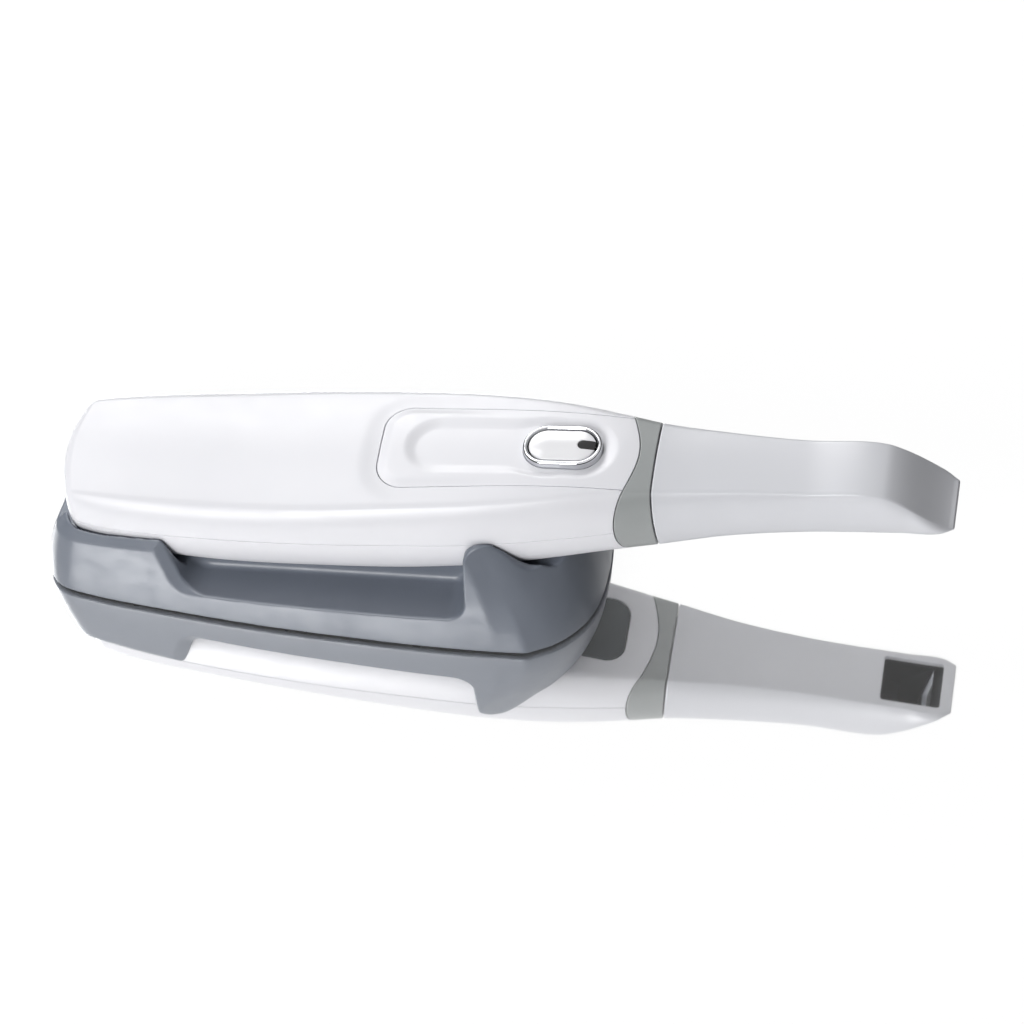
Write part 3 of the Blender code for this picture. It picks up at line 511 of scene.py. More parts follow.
def sweep_profile(ring_of: Callable[[float], Array], profile: Table) -> tuple[Array, Array]:
    """A closed profile carried round a closed outline, each point (inset, height) giving one ring.

    Args:
        ring_of: Gives the outline's (s, y) points moved in by an inset.
        profile: (inset, height) pairs in order; the last one joins the first.

    Returns:
        Points in the wand's frame, and quads.
    """
    outlines = [(ring_of(inset), height) for inset, height in profile]
    rings = [np.column_stack([ring, np.full(len(ring), height)]) for ring, height in outlines]
    return np.concatenate(rings), rows_to_quads(len(rings), len(rings[0]), along=True)


def stadium_ring(length: float, width: float, steps: int = 40) -> Array:
    """Outline of two straight sides and two half circles, centred on the origin, anticlockwise.

    Args:
        length: Length over the round ends.
        width: Width across.
        steps: Points along each half circle.

    Returns:
        (2 * steps + 2, 2) points.
    """
    turn = np.linspace(-math.pi / 2, math.pi / 2, steps + 1)
    end = np.column_stack([np.cos(turn), np.sin(turn)]) * width / 2
    half = (length - width) / 2
    return np.concatenate([end + [half, 0], -end - [half, 0]])


def stadium_distance(points: Array, middle: float, length: float, width: float) -> Array:
    """Distance in plan to a stadium that lies along the wand: to its middle line, less half its
    width.
    """
    past = np.maximum(np.abs(points[:, 0] - middle) - (length - width) / 2, 0)
    return np.hypot(past, points[:, 1]) - width / 2


# ---------------------------------------------------------------- finishes
def srgb(code: str) -> tuple[float, float, float, float]:
    """Turns an sRGB hex code into Blender's linear colour.

    Args:
        code: Six hex digits after a hash.

    Returns:
        Red, green, blue and an alpha of 1.
    """
    parts = [int(code[i:i + 2], 16) / 255 for i in (1, 3, 5)]
    linear = [p / 12.92 if p <= 0.04045 else ((p + 0.055) / 1.055) ** 2.4 for p in parts]
    return (linear[0], linear[1], linear[2], 1.0)


def add_node(tree: bpy.types.NodeTree, kind: str, values: dict | None = None,
             links: dict | None = None, **settings: object) -> bpy.types.Node:
    """Adds a node with its settings, input values and links.

    Args:
        tree: Node tree to add to.
        kind: Blender's node type name.
        values: Input values by socket name or number.
        links: Output sockets to link in, by socket name or number.
        settings: Node properties.

    Returns:
        The new node.
    """
    node = tree.nodes.new(kind)
    for name, value in settings.items():
        setattr(node, name, value)
    for key, value in (values or {}).items():
        node.inputs[key].default_value = value
    for key, source in (links or {}).items():
        tree.links.new(source, node.inputs[key])
    return node


class Grain(Enum):
    """How a surface was made, as the grain size in millimetres and the depth of its relief in
    micrometres.
    """

    POLISHED = (2.5, 1.5)
    SATIN = (0.55, 5.0)
    SPARK_ERODED = (0.7, 16.0)
    CAST = (0.8, 22.0)


@dataclass(frozen=True)
class Finish:
    """A surface finish: the same polymer or metal wherever it is used.

    The colour drifts a little between two shades over patches of drift_mm. The roughness drifts
    with smears a few millimetres long. The relief is noise of the grain's own size.
    """

    name: str
    colour: str
    other_shade: str
    roughness: float
    grain: Grain
    metallic: float = 0.0
    ior: float | None = 1.5
    drift_mm: float = 14.0
    roughness_drift: float = 0.04
    coat: float = 0.0
    coat_roughness: float = 0.08
    transmission: float = 0.0
    subsurface: float = 0.0
    brushed: tuple[float, float, float] | None = None

    def make(self) -> bpy.types.Material:
        """Builds the material.

        Returns:
            A new node material.
        """
        material = bpy.data.materials.new(self.name)
        material.use_nodes = True
        tree = material.node_tree
        shader = tree.nodes["Principled BSDF"]
        place = add_node(tree, "ShaderNodeTexCoord").outputs["Object"]
        if self.brushed is not None:
            place = add_node(tree, "ShaderNodeMapping", {"Scale": self.brushed},
                             {"Vector": place}).outputs[0]
        size, depth = self.grain.value
        drift = add_node(tree, "ShaderNodeTexNoise", {"Scale": 1 / (self.drift_mm * MM),
                                                      "Detail": 2.0},
                         {"Vector": place})
        shade = add_node(tree, "ShaderNodeMix",
                         {"A": srgb(self.colour), "B": srgb(self.other_shade)},
                         {"Factor": drift.outputs[0]}, data_type="RGBA")
        smear = add_node(tree, "ShaderNodeTexNoise", {"Scale": 1 / (5 * MM), "Detail": 3.0},
                         {"Vector": place})
        gloss = add_node(tree, "ShaderNodeMapRange",
                         {"From Min": 0.3, "From Max": 0.7,
                          "To Min": max(self.roughness - self.roughness_drift, 0.01),
                          "To Max": self.roughness + self.roughness_drift},
                          {"Value": smear.outputs[0]})
        fine = add_node(tree, "ShaderNodeTexNoise", {"Scale": 1 / (size * MM), "Detail": 2.0},
                        {"Vector": place})
        relief = add_node(tree, "ShaderNodeBump", {"Strength": 0.6, "Distance": depth * 1e-6},
                          {"Height": fine.outputs[0]})
        tree.links.new(shade.outputs["Result"], shader.inputs["Base Color"])
        tree.links.new(gloss.outputs[0], shader.inputs["Roughness"])
        tree.links.new(relief.outputs[0], shader.inputs["Normal"])
        shader.inputs["Metallic"].default_value = self.metallic
        if self.ior is not None and self.metallic == 0:
            shader.inputs["IOR"].default_value = self.ior
        shader.inputs["Coat Weight"].default_value = self.coat
        shader.inputs["Coat Roughness"].default_value = self.coat_roughness
        shader.inputs["Transmission Weight"].default_value = self.transmission
        shader.inputs["Subsurface Weight"].default_value = self.subsurface
        shader.inputs["Subsurface Radius"].default_value = (0.9, 0.85, 0.8)
        shader.inputs["Subsurface Scale"].default_value = 0.0006
        return material


class Material(Enum):
    """Every finish on the object, and what each gives the eye."""

    # Satin injection-moulded ABS: a cool near-white body with soft broad highlights.
    WHITE_ABS = Finish("satin_white_abs", "#EDEDF1", "#EAEAEF", 0.34, Grain.SATIN, subsurface=0.05)
    # The inlay is the same ABS, polished a little more, so the button's halo shows.
    PANEL_ABS = Finish("satin_white_abs_inlay", "#EEEEF2", "#EBEBF0", 0.33, Grain.SATIN,
                       subsurface=0.05)
    # Grey polycarbonate ring: a neutral mid grey with a greenish shade in the shadow.
    COLLAR_PC = Finish("satin_grey_polycarbonate", "#A4A7A7", "#9DA1A1", 0.36, Grain.SATIN,
                       ior=1.58)
    # Autoclavable polysulfone: pale cool grey, slightly glossy.
    TIP_PSU = Finish("satin_grey_polysulfone", "#DDDEE3", "#D9DADF", 0.33, Grain.SATIN, ior=1.63,
                     subsurface=0.04)
    # Soft-touch elastomer skin on the belly pad: dark, broad and dull highlights.
    SOFT_TOUCH = Finish("soft_touch_elastomer", "#3E4447", "#454B4E", 0.55, Grain.SPARK_ERODED,
                        ior=1.45)
    # Bright chrome plate over ABS: mirror reflections, hardly any blur.
    CHROME = Finish("bright_chrome_plate", "#D8D9DC", "#D2D3D7", 0.05, Grain.POLISHED, 1.0, None,
                    roughness_drift=0.015)
    # Gloss white ABS cap: clean, bright, sharper highlight than the body.
    CAP_ABS = Finish("gloss_white_abs", "#F4F4F6", "#F1F1F4", 0.18, Grain.POLISHED, coat=0.2)
    # Smoked acrylic light guide: nearly black when unlit.
    SMOKED_ACRYLIC = Finish("smoked_acrylic", "#18181A", "#141416", 0.12, Grain.POLISHED, ior=1.49)
    # Slate satin ABS of the cradle: a fine eroded texture that spreads each highlight along the lips.
    SLATE_ABS = Finish("satin_slate_abs", "#767C87", "#6F7580", 0.36, Grain.SPARK_ERODED, ior=1.54)
    # Black TPE pads: dull and slightly dusty.
    RUBBER = Finish("black_tpe", "#1C1D20", "#25262A", 0.72, Grain.SPARK_ERODED, ior=1.5)
    # Zinc-plated sheet steel.
    ZINC_STEEL = Finish("zinc_plated_steel", "#B9BDC2", "#A6ABB1", 0.36, Grain.SATIN, 1.0, None,
                        drift_mm=4.0, roughness_drift=0.1)
    # Cast zinc of the ballast, matt and mottled.
    CAST_ZINC = Finish("cast_zinc", "#8C9096", "#7C8086", 0.52, Grain.CAST, 1.0, None,
                       roughness_drift=0.1)
    # Bead-blasted aluminium of the deck, spigot and heat sink.
    BLASTED_ALUMINIUM = Finish("bead_blasted_aluminium", "#C9CBCF", "#C0C2C7", 0.42,
                               Grain.SPARK_ERODED, 1.0, None)
    # Turned nickel of the socket, its tool marks run round the bore.
    TURNED_NICKEL = Finish("turned_nickel", "#C4C0B8", "#B5B1AA", 0.22, Grain.SATIN, 1.0, None,
                           brushed=(6.0, 1.0, 1.0))
    # Black anodised module housings.
    BLACK_ANODISED = Finish("black_anodised_aluminium", "#2A2B2E", "#232427", 0.42, Grain.SATIN,
                            ior=1.6)
    # Solder-masked glass-fibre board.
    SOLDER_MASK = Finish("green_solder_mask", "#1F5A38", "#184C2F", 0.33, Grain.SATIN, coat=0.4,
                         drift_mm=3.0)
    # Black thermoplastic of the push switch.
    SWITCH_PBT = Finish("black_pbt", "#26272A", "#2E2F33", 0.5, Grain.SPARK_ERODED)
    # Coated optical glass, clear with a faint cool tint.
    OPTICAL_GLASS = Finish("coated_optical_glass", "#E3ECF4", "#DEE8F2", 0.03, Grain.POLISHED,
                           ior=1.52,
                           transmission=0.9, roughness_drift=0.01)
    # Silvered front-surface mirror.
    SILVERED_GLASS = Finish("silvered_mirror", "#E6E8EC", "#E2E5E9", 0.03, Grain.POLISHED, 1.0,
                            None,
                            roughness_drift=0.01)


@dataclass
class Workshop:
    """Makes pieces and dresses them, one material for each finish."""

    made: dict[Material, bpy.types.Material] = field(default_factory=dict)

    def material(self, kind: Material) -> bpy.types.Material:
        """The finish's one material, made on first use."""
        if kind not in self.made:
            self.made[kind] = kind.value.make()
        return self.made[kind]

    def piece(self, name: str, body: Body, slot: str, kind: Material,
              mesh: tuple[Array, Array, Array | None],
              *nodes: str) -> bpy.types.Object:
        """Makes one visible piece that rides on a body and stands for model nodes.

        Args:
            name: The piece's name.
            body: Body it moves with.
            slot: Material slot of the record; not used.
            kind: Its finish.
            mesh: Points in the row frame in millimetres, faces, and corner normals or None.
            nodes: Nodes that it replaces.

        Returns:
            The piece.
        """
        obj = place_mesh(name, *mesh, self.material(kind))
        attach(obj, body.value)
        if nodes:
            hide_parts(*nodes)
        LOG.info("%s: %d faces on %s", name, len(obj.data.polygons), body.value)
        return obj

    def dress(self, node: bpy.types.Object, kind: Material) -> None:
        """Gives a carried-over node its finish in every slot."""
        node.data.materials.clear()
        node.data.materials.append(self.material(kind))
        LOG.info("%s: dressed in %s", node.name, kind.value.name)


# ---------------------------------------------------------------- the wand
@dataclass(frozen=True)
class WandFrame:
    """Where the wand lies: its origin at the tail's middle and its three axes."""

    origin: Array
    axes: Array

    SOCKET_MIDDLE = 4.7  # station of the cable socket's middle

    @classmethod
    def from_model(cls, joints: list[dict]) -> WandFrame:
        """Reads the wand's place from the tip's pull-off axis and the cable socket's box.

        Args:
            joints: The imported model's joints.

        Returns:
            The wand's frame.
        """
        axis = next(j["axis"] for j in joints if j["name"] == "tip_pull_off")
        along = np.array(axis, float) / np.linalg.norm(axis)
        across = np.array([0.0, 1.0, 0.0])
        low, high = (np.array(corner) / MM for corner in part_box("cable_socket"))
        return cls((low + high) / 2 - along * cls.SOCKET_MIDDLE,
                   np.stack([along, across, np.cross(along, across)]))

    def place(self, points: Array) -> Array:
        """Points of the wand's frame in the row frame."""
        return points @ self.axes + self.origin

    def turn(self, vectors: Array) -> Array:
        """Directions of the wand's frame in the row frame."""
        return vectors @ self.axes

    def local(self, points: Array) -> Array:
        """Points of the row frame in the wand's frame."""
        return (points - self.origin) @ self.axes.T


@dataclass(frozen=True)
class WandForm:
    """Outer form of the wand as a function of the run along it and the quarter turn round it.

    Each cross-section has two elliptic flanks that turn in by flank_turn (keel_turn below) up to a
    crease, and a parabolic dome between the creases. Quarter 0 is the +y side, 1 the crown, 2 the
    -y side, 3 the keel.
    """

    tail_round: float = 3.0
    tail_bow: float = 3.0
    bow_reach: float = 22.0
    socket_hole: float = 5.15
    tip_end: float = 219.4
    end_round: float = 0.35
    face_run: float = 10.0
    flank_turn: float = math.radians(66)
    keel_turn: float = math.radians(74)
    crease_inset: float = 0.8
    crease_soft: float = 0.035
    collar_seam: float = 141.6
    collar_wave: float = 2.7
    tip_joint: float = 148.0
    half_width: Table = ((0, 17.0), (8, 18.9), (22, 20.6), (42, 21.9), (64, 22.4), (86, 22.0),
                         (104, 21.2),
                         (122, 19.0), (138, 16.2), (148, 13.9), (162, 11.9), (178, 10.4),
                         (194, 9.6),
                         (208, 9.5), (216, 9.3), (219.4, 7.4))
    crown_half_width: Table = ((0, 13.9), (8, 14.8), (46, 17.2), (66, 17.8), (86, 17.5),
                               (104, 16.8),
                               (122, 15.0), (140, 11.6), (148, 10.5), (164, 9.2), (180, 8.3),
                               (204, 8.2),
                               (216, 8.0), (219.4, 6.2))
    crown_height: Table = ((0, 8.0), (8, 8.2), (46, 8.4), (66, 9.2), (86, 10.3), (104, 11.0),
                           (124, 11.3),
                           (140, 10.7), (150, 9.5), (166, 8.5), (184, 7.6), (203, 7.1), (206, 5.6),
                           (218, -4.0), (219.4, -4.7))
    crown_rise: Table = ((0, 0.8), (20, 1.5), (110, 1.7), (148, 0.9), (170, 0.4), (220, 0.2))
    keel_half_width: Table = ((0, 13.0), (8, 14.6), (30, 17.4), (60, 18.6), (90, 18.4), (112, 16.9),
                              (138, 13.2), (148, 12.0), (164, 9.6), (182, 8.5), (206, 8.4),
                              (216, 8.2),
                              (219.4, 6.4))
    keel_depth: Table = ((0, 8.4), (8, 9.8), (22, 11.4), (50, 12.5), (86, 12.4), (112, 11.2),
                         (136, 9.6),
                         (148, 8.8), (166, 7.6), (186, 6.6), (206, 6.1), (220, 5.8))
    keel_drop: Table = ((0, 0.6), (30, 1.1), (110, 1.1), (148, 0.5), (220, 0.1))
    mid_height: Table = ((0, 0.0), (196, 0.0), (206, -0.6), (218, -4.9), (219.4, -5.2))

    def sharp_section(self, s: Array, quarter: Array, inset: Array | float) -> tuple[Array, Array]:
        """Cross-section with crisp creases.

        Args:
            s: Stations.
            quarter: Quarter turns.
            inset: How far the skin is moved in.

        Returns:
            y and h on the skin.
        """
        quarter = quarter % 4
        upper = quarter <= 2
        climb = 1 - np.abs(quarter % 2 - 1)
        mid = smooth_curve(self.mid_height, s)
        side = smooth_curve(self.half_width, s) - inset
        crease = np.where(upper, smooth_curve(self.crown_half_width, s),
                          smooth_curve(self.keel_half_width, s))
        height = np.where(upper, smooth_curve(self.crown_height, s) - mid,
                          smooth_curve(self.keel_depth, s) + mid)
        rise = np.where(upper, smooth_curve(self.crown_rise, s), smooth_curve(self.keel_drop, s))
        height = np.maximum(height - inset, 0.2)
        crease = np.minimum(crease - self.crease_inset * inset, side - 0.2)
        turn = np.where(upper, self.flank_turn, self.keel_turn)
        phi = turn * np.clip(climb / 0.5, 0, 1)
        across = np.clip(2 - 2 * climb, 0, 1)
        flank = climb < 0.5
        y = np.where(flank, crease + (side - crease) * (np.cos(phi) - np.cos(turn))
                     / (1 - np.cos(turn)),
                     crease * across)
        h = np.where(flank, height * np.sin(phi) / np.sin(turn), height + rise * (1 - across ** 2))
        y = y * np.where((quarter > 1) & (quarter < 3), -1, 1)
        return y, mid + h * np.where(upper, 1, -1)

    def section(self, s: Array, quarter: Array, inset: Array | float = 0.0) -> tuple[Array, Array]:
        """Cross-section whose creases are softened by a 1-2-1 mean round the section."""
        before = self.sharp_section(s, quarter - self.crease_soft, inset)
        here = self.sharp_section(s, quarter, inset)
        after = self.sharp_section(s, quarter + self.crease_soft, inset)
        return tuple((a + 2 * b + c) / 4 for a, b, c in zip(before, here, after))

    def seam(self, quarter: Array) -> Array:
        """Station of the wavy joint between housings and collar: a cosine with two waves a turn."""
        return self.collar_seam - self.collar_wave * np.cos(math.pi * quarter)

    def point(self, at: Array, inset: float = 0.0) -> Array:
        """Point of the outer form.

        The first parameter is the station between the end roundings. Past them it is the arc length
        round a quarter circle, and then the run over the flat end: to the socket's circle at the
        tail, to the middle at the tip. The tail end is bowed backwards at its middle, by the square
        of the distance across.

        Args:
            at: (run, quarter) rows.
            inset: How far the form is moved in.

        Returns:
            (s, y, h) rows.
        """
        run, quarter = at.T
        tail_turn = np.clip((self.tail_round - run) / self.tail_round, 0, math.pi / 2)
        end_start = self.tip_end - self.end_round
        end_turn = np.clip((run - end_start) / self.end_round, 0, math.pi / 2)
        s = np.clip(run, self.tail_round, end_start)
        s = s - self.tail_round * np.sin(tail_turn) + self.end_round * np.sin(end_turn)
        moved = inset + self.tail_round * (1 - np.cos(tail_turn)) + self.end_round * (1
                                                                                      - np.cos(end_turn))
        y, h = self.section(s, quarter, moved)
        over_tail = np.clip((self.tail_round * (1 - math.pi / 2) - run) / self.face_run, 0, 1)
        angle = math.pi / 2 * quarter
        y = y + over_tail * ((self.socket_hole - 0.5) * np.cos(angle) - y)
        h = h + over_tail * ((self.socket_hole - 0.5) * np.sin(angle) - h)
        over_end = np.clip((run - end_start - self.end_round * math.pi / 2) / self.face_run, 0, 1)
        y = y * (1 - over_end)
        h = h + over_end * (smooth_curve(self.mid_height, s) - h)
        across = np.abs(y) / 15
        blend = np.maximum(0.4 - np.abs(across - 1), 0) / 0.4
        across = np.minimum(across, 1) - 0.1 * blend ** 2
        s = s + self.tail_bow * np.clip(1 - s / self.bow_reach, 0, 1) * across ** 2
        return np.column_stack([s, y, h])


@dataclass
class Housings:
    """The two white half shells with the button panel and the belly pad let into them."""

    form: WandForm
    frame: WandFrame
    shop: Workshop
    wall: float = 2.0
    inlay_wall: float = 1.5
    panel_start: float = 80.4
    panel_rear_half: float = 12.6
    panel_front_half: float = 10.9
    panel_corner: float = 7.0
    belly_start: float = 92.0
    belly_end: float = 136.6
    belly_half: float = 9.6
    belly_corner: float = 5.0
    groove_start: float = 95.0
    groove_half: float = 8.6
    groove_depth: float = 0.75
    well_length: float = 19.4
    well_width: float = 12.0
    button_station: float = 125.6
    screw_station: float = 26.0
    screw_side: float = 9.0
    screw_hole: float = 2.6
    dip_fade: tuple[float, float] = (92.0, 122.0)
    dip_depth: float = 0.42
    mark_station: float = 118.0
    mark_cut: float = 117.0
    mark_radius: float = 6.4
    mark_half: float = 0.55
    mark_depth: float = 0.35

    def panel_distance(self, points: Array) -> Array:
        """How far a point lies inside the button panel's outline in plan, negative outside."""
        half = self.panel_rear_half + ((self.panel_front_half - self.panel_rear_half)
                                       * (points[:, 0] - self.panel_start)
                                       / (self.form.tip_joint - self.panel_start))
        return -round_and(self.panel_start - points[:, 0], np.abs(points[:, 1]) - half,
                          self.panel_corner)

    def belly_distance(self, points: Array) -> Array:
        """How far a point lies inside the belly pad's outline in plan, negative outside."""
        middle = (self.belly_start + self.belly_end) / 2
        return -round_and(np.abs(points[:, 0] - middle) - (self.belly_end - self.belly_start) / 2,
                          np.abs(points[:, 1]) - self.belly_half, self.belly_corner)

    def shoulder(self, points: Array, at: Array) -> Array:
        """Shallow dip of the housing beside the panel, deepest at the seam and gone 5 mm away or
        far forward.
        """
        outside = -self.panel_distance(points)
        fade = 1 - ease(*self.dip_fade, points[:, 0])
        return -self.dip_depth * (1 - ease(0.0, 5.2, outside)) * fade * (points[:, 2] > 0)

    def panel_relief(self, points: Array, at: Array) -> Array:
        """Thumb groove that runs into a round dish under the button, and the panel's own dipped
        edge.
        """
        along = np.maximum(self.groove_start - points[:, 0], 0)
        groove = np.hypot(along, points[:, 1]) - self.groove_half
        dish = stadium_distance(points, self.button_station, self.well_length + 7.4,
                                self.well_width + 6.6)
        groove = np.where(points[:, 0] > self.button_station, FAR_AWAY, groove)
        both = round_or(groove, dish, 1.5)
        fade = 1 - ease(*self.dip_fade, points[:, 0])
        edge = self.dip_depth * (1 - ease(0.0, 3.0, self.panel_distance(points))) * fade
        return -self.groove_depth * (1 - ease(-3.2, 0.4, both)) - edge

    def belly_relief(self, points: Array, at: Array) -> Array:
        """Crescent finger mark: a ring 1.1 mm wide round a 6.4 mm circle, cut off towards the tail.
        """
        ring = np.abs(np.hypot(points[:, 0] - self.mark_station, points[:, 1])
                      - self.mark_radius) - self.mark_half
        front = round_and(ring, self.mark_cut - points[:, 0], 0.3)
        return -self.mark_depth * (1 - ease(-0.3, 0.3, front))

    def _add(self, name: str, slot: str, kind: Material, shell: Shell, patch: Patch,
             node: str) -> None:
        """Builds a shell and adds it as a piece of the wand."""
        points, faces, normals = shell.build(patch)
        mesh = (self.frame.place(points), faces, self.frame.turn(normals.reshape(-1, 3)))
        self.shop.piece(name, Body.WAND, slot, kind, mesh, node)

    def build(self) -> None:
        """Makes both housings and both inlays."""
        form, gap = self.form, SEAM_GAP
        runs = np.concatenate([np.linspace(-11.7, -1.8, 14), np.linspace(-1.7, 3.0, 12),
                               np.arange(3.8, 80, 1.0), np.arange(80, 146.5, 0.75)])
        front = Edge(lambda p, at: form.seam(at[:, 1]) - gap - p[:, 0], 0.22)
        hole = Edge(lambda p, at: np.where(p[:, 0] < 5,
                                           np.hypot(p[:, 1], p[:, 2]) - form.socket_hole, FAR_AWAY),
                    0.3)
        upper = Shell(form.point, [
            Edge(lambda p, at: np.where(p[:, 0] < 210, p[:, 2] - gap / 2, 0), 0.14), front, hole,
            Edge(lambda p, at: np.where(at[:, 1] % 4 < 2, -self.panel_distance(p) - gap / 2,
                                        FAR_AWAY), 0.2),
        ], self.wall, self.shoulder)
        self._add("housing_upper_skin", "housing", Material.WHITE_ABS, upper,
                  Patch.sheet(runs, np.linspace(-0.03, 2.03, 84)), "upper_housing")
        lower = Shell(form.point, [
            Edge(lambda p, at: -gap / 2 - p[:, 2], 0.14), front, hole,
            Edge(lambda p, at: -self.belly_distance(p) - gap / 2, 0.2),
            Edge(lambda p, at: np.hypot(p[:, 0] - self.screw_station,
                                        np.abs(p[:, 1]) - self.screw_side)
                 - self.screw_hole, 0.2),
        ], self.wall)
        self._add("housing_lower_skin", "housing", Material.WHITE_ABS, lower,
                  Patch.sheet(runs, np.linspace(1.97, 4.03, 84)), "lower_housing")
        panel = Shell(form.point, [
            Edge(lambda p, at: self.panel_distance(p) - gap / 2, 0.2), front,
            Edge(lambda p, at: stadium_distance(p, self.button_station, self.well_length,
                                                self.well_width)
                 - gap / 2, 0.25),
        ], self.inlay_wall, self.panel_relief)
        self._add("button_panel_skin", "button_panel", Material.PANEL_ABS, panel,
                  Patch.sheet(np.arange(79, 146.5, 0.6), np.linspace(0.4, 1.6, 64)), "button_panel")
        belly = Shell(form.point, [Edge(lambda p, at: self.belly_distance(p) - gap / 2, 0.25)],
                      self.inlay_wall, self.belly_relief)
        self._add("belly_pad_skin", "belly_panel", Material.SOFT_TOUCH, belly,
                  Patch.sheet(np.arange(91, 138.5, 0.6), np.linspace(2.4, 3.6, 60)), "belly_panel")
        collar = Shell(form.point, [
            Edge(lambda p, at: p[:, 0] - form.seam(at[:, 1]), 0.22),
            Edge(lambda p, at: form.tip_joint - p[:, 0], 0.3)], 2.2, period=4.0)
        self._add("collar_skin", "collar", Material.COLLAR_PC, collar,
                  Patch.sheet(np.arange(137.6, 149.6, 0.6), np.linspace(0, 4, 161)), "front_collar")


@dataclass
class Tip:
    """The pull-off tip sleeve with its slanted end face and the scanning window under it."""

    form: WandForm
    frame: WandFrame
    shop: Workshop
    rear: float = 148.3
    wall: float = 1.2
    window_start: float = 201.4
    window_end: float = 216.4
    window_half: float = 6.7
    window_corner: float = 0.8
    end_pole: float = 229.5

    def window_distance(self, points: Array, at: Array) -> Array:
        """Distance in plan outside the window's rounded rectangle, on the keel side only."""
        middle = (self.window_start + self.window_end) / 2
        out = round_and(np.abs(points[:, 0] - middle) - (self.window_end - self.window_start) / 2,
                        np.abs(points[:, 1]) - self.window_half, self.window_corner)
        return np.where(at[:, 1] % 4 > 2, out, FAR_AWAY)

    def thickness(self, at: Array) -> Array:
        """The wall, thinned near the tip's end to under a third of the height there."""
        s = np.clip(at[:, 0], 0, self.form.tip_end)
        height = smooth_curve(self.form.crown_height, s) + smooth_curve(self.form.keel_depth, s)
        return np.minimum(self.wall, 0.3 * height)

    def build(self) -> None:
        """Makes the sleeve."""
        form = self.form
        runs = np.concatenate([np.arange(147.6, 200, 0.9), np.arange(200, 219.0, 0.45),
                               np.linspace(219.05, 219.6, 7),
                               np.linspace(219.7, 229.6, 7)])
        sleeve = Shell(form.point, [Edge(lambda p, at: p[:, 0] - self.rear, 0.3),
                                    Edge(self.window_distance, 0.25)], self.thickness, period=4.0,
                                    pole=self.end_pole)
        patch = Patch.sheet(runs, np.linspace(0, 4, 161))
        points, faces, normals = sleeve.build(patch)
        mesh = (self.frame.place(points), faces, self.frame.turn(normals.reshape(-1, 3)))
        sleeve = self.shop.piece("tip_sleeve_skin", Body.TIP, "tip", Material.TIP_PSU, mesh,
                                 "tip_sleeve")
        # Painted shade: the sleeve's inner faces get the black anodised finish, so the inside seen
        # through the window is dark.
        sleeve.data.materials.append(self.shop.material(Material.BLACK_ANODISED))
        inside = (faces >= len(points) // 2).all(axis=1)
        sleeve.data.polygons.foreach_set("material_index", inside.astype(np.int32))


@dataclass
class Button:
    """Chrome bezel, pressed cap and the smoked light guide in the cap's front."""

    form: WandForm
    frame: WandFrame
    shop: Workshop
    station: float = 125.6
    length: float = 19.4
    width: float = 12.0
    rim: float = 1.15
    top: float = 13.6
    depth: float = 3.4
    clearance: float = 0.28
    cap_top: float = 13.9
    cap_side_top: float = 13.2
    slot_length: float = 5.0
    slot_width: float = 2.6

    def ring(self, inset: float) -> Array:
        """The bezel's outline moved in by an inset."""
        return stadium_ring(self.length - 2 * inset, self.width - 2 * inset) + [self.station, 0]

    def cap_distance(self, points: Array) -> Array:
        """How far a point lies inside the cap's outline in plan."""
        shrink = 2 * (self.rim + self.clearance)
        return -stadium_distance(points, self.station, self.length - shrink, self.width - shrink)

    def slot_distance(self, points: Array) -> Array:
        """How far a point lies outside the light guide's slot, which runs out through the cap's
        front.
        """
        middle = self.station + self.length / 2 - self.rim - self.slot_length / 2 + 0.3
        return stadium_distance(points, middle, self.slot_length, self.slot_width)

    def cap_surface(self, at: Array) -> Array:
        """The cap's top: a dome that rises from its side by the square of the distance to its
        middle.
        """
        flat = np.column_stack([at, np.zeros(len(at))])
        inside = np.clip(self.cap_distance(flat) / 4.6, 0, 1)
        return np.column_stack([at,
                                self.cap_side_top + 0.2 + (self.cap_top - self.cap_side_top - 0.2)
                                * (1 - (1 - inside) ** 2)])

    def guide_surface(self, at: Array) -> Array:
        """The light guide's top, a hair under the cap's."""
        return self.cap_surface(at) - [0, 0, 0.08]

    def build(self) -> None:
        """Makes the bezel, cap and light guide."""
        turn = np.linspace(0, math.pi, 15)
        outer, inner = 0.62, self.rim - 0.62
        rim = [(outer - outer * math.cos(t), self.top - outer + outer * math.sin(t)) for t in turn
               if t <= 1.6]
        rim += [(outer - inner * math.cos(t), self.top - outer + outer * math.sin(t)) for t in turn
                if t > 1.6]
        profile = [(0.0, self.top - self.depth), *rim, (self.rim, self.top - self.depth)]
        points, quads = sweep_profile(self.ring, profile)
        self.shop.piece("button_bezel_ring", Body.WAND, "bezel", Material.CHROME,
                        (self.frame.place(points), quads, None), "button_bezel")
        half_l, half_w = self.length / 2, self.width / 2
        step, spare = 0.22, 0.1
        sheet = (np.arange(self.station - half_l, self.station + half_l + spare, step),
                 np.arange(-half_w, half_w + spare, step))
        cap = Shell(self.cap_surface, [Edge(lambda p, at: self.cap_distance(p), 0.4),
                                       Edge(lambda p, at: self.slot_distance(p) - 0.06, 0.1)], 2.6,
                                       outward=1)
        guide = Shell(self.guide_surface, [
            Edge(lambda p, at: self.cap_distance(p) - 0.02, 0.3),
            Edge(lambda p, at: -self.slot_distance(p), 0.08)], 1.0, outward=1)
        for name, slot, kind, shell, node in (
                ("scan_button_cap", "button_cap", Material.CAP_ABS, cap, "scan_button"),
                ("indicator_guide", "indicator", Material.SMOKED_ACRYLIC, guide, "indicator_lens")):
            points, faces, normals = shell.build(Patch.sheet(*sheet))
            mesh = (self.frame.place(points), faces, self.frame.turn(normals.reshape(-1, 3)))
            self.shop.piece(name, Body.BUTTON, slot, kind, mesh, node)


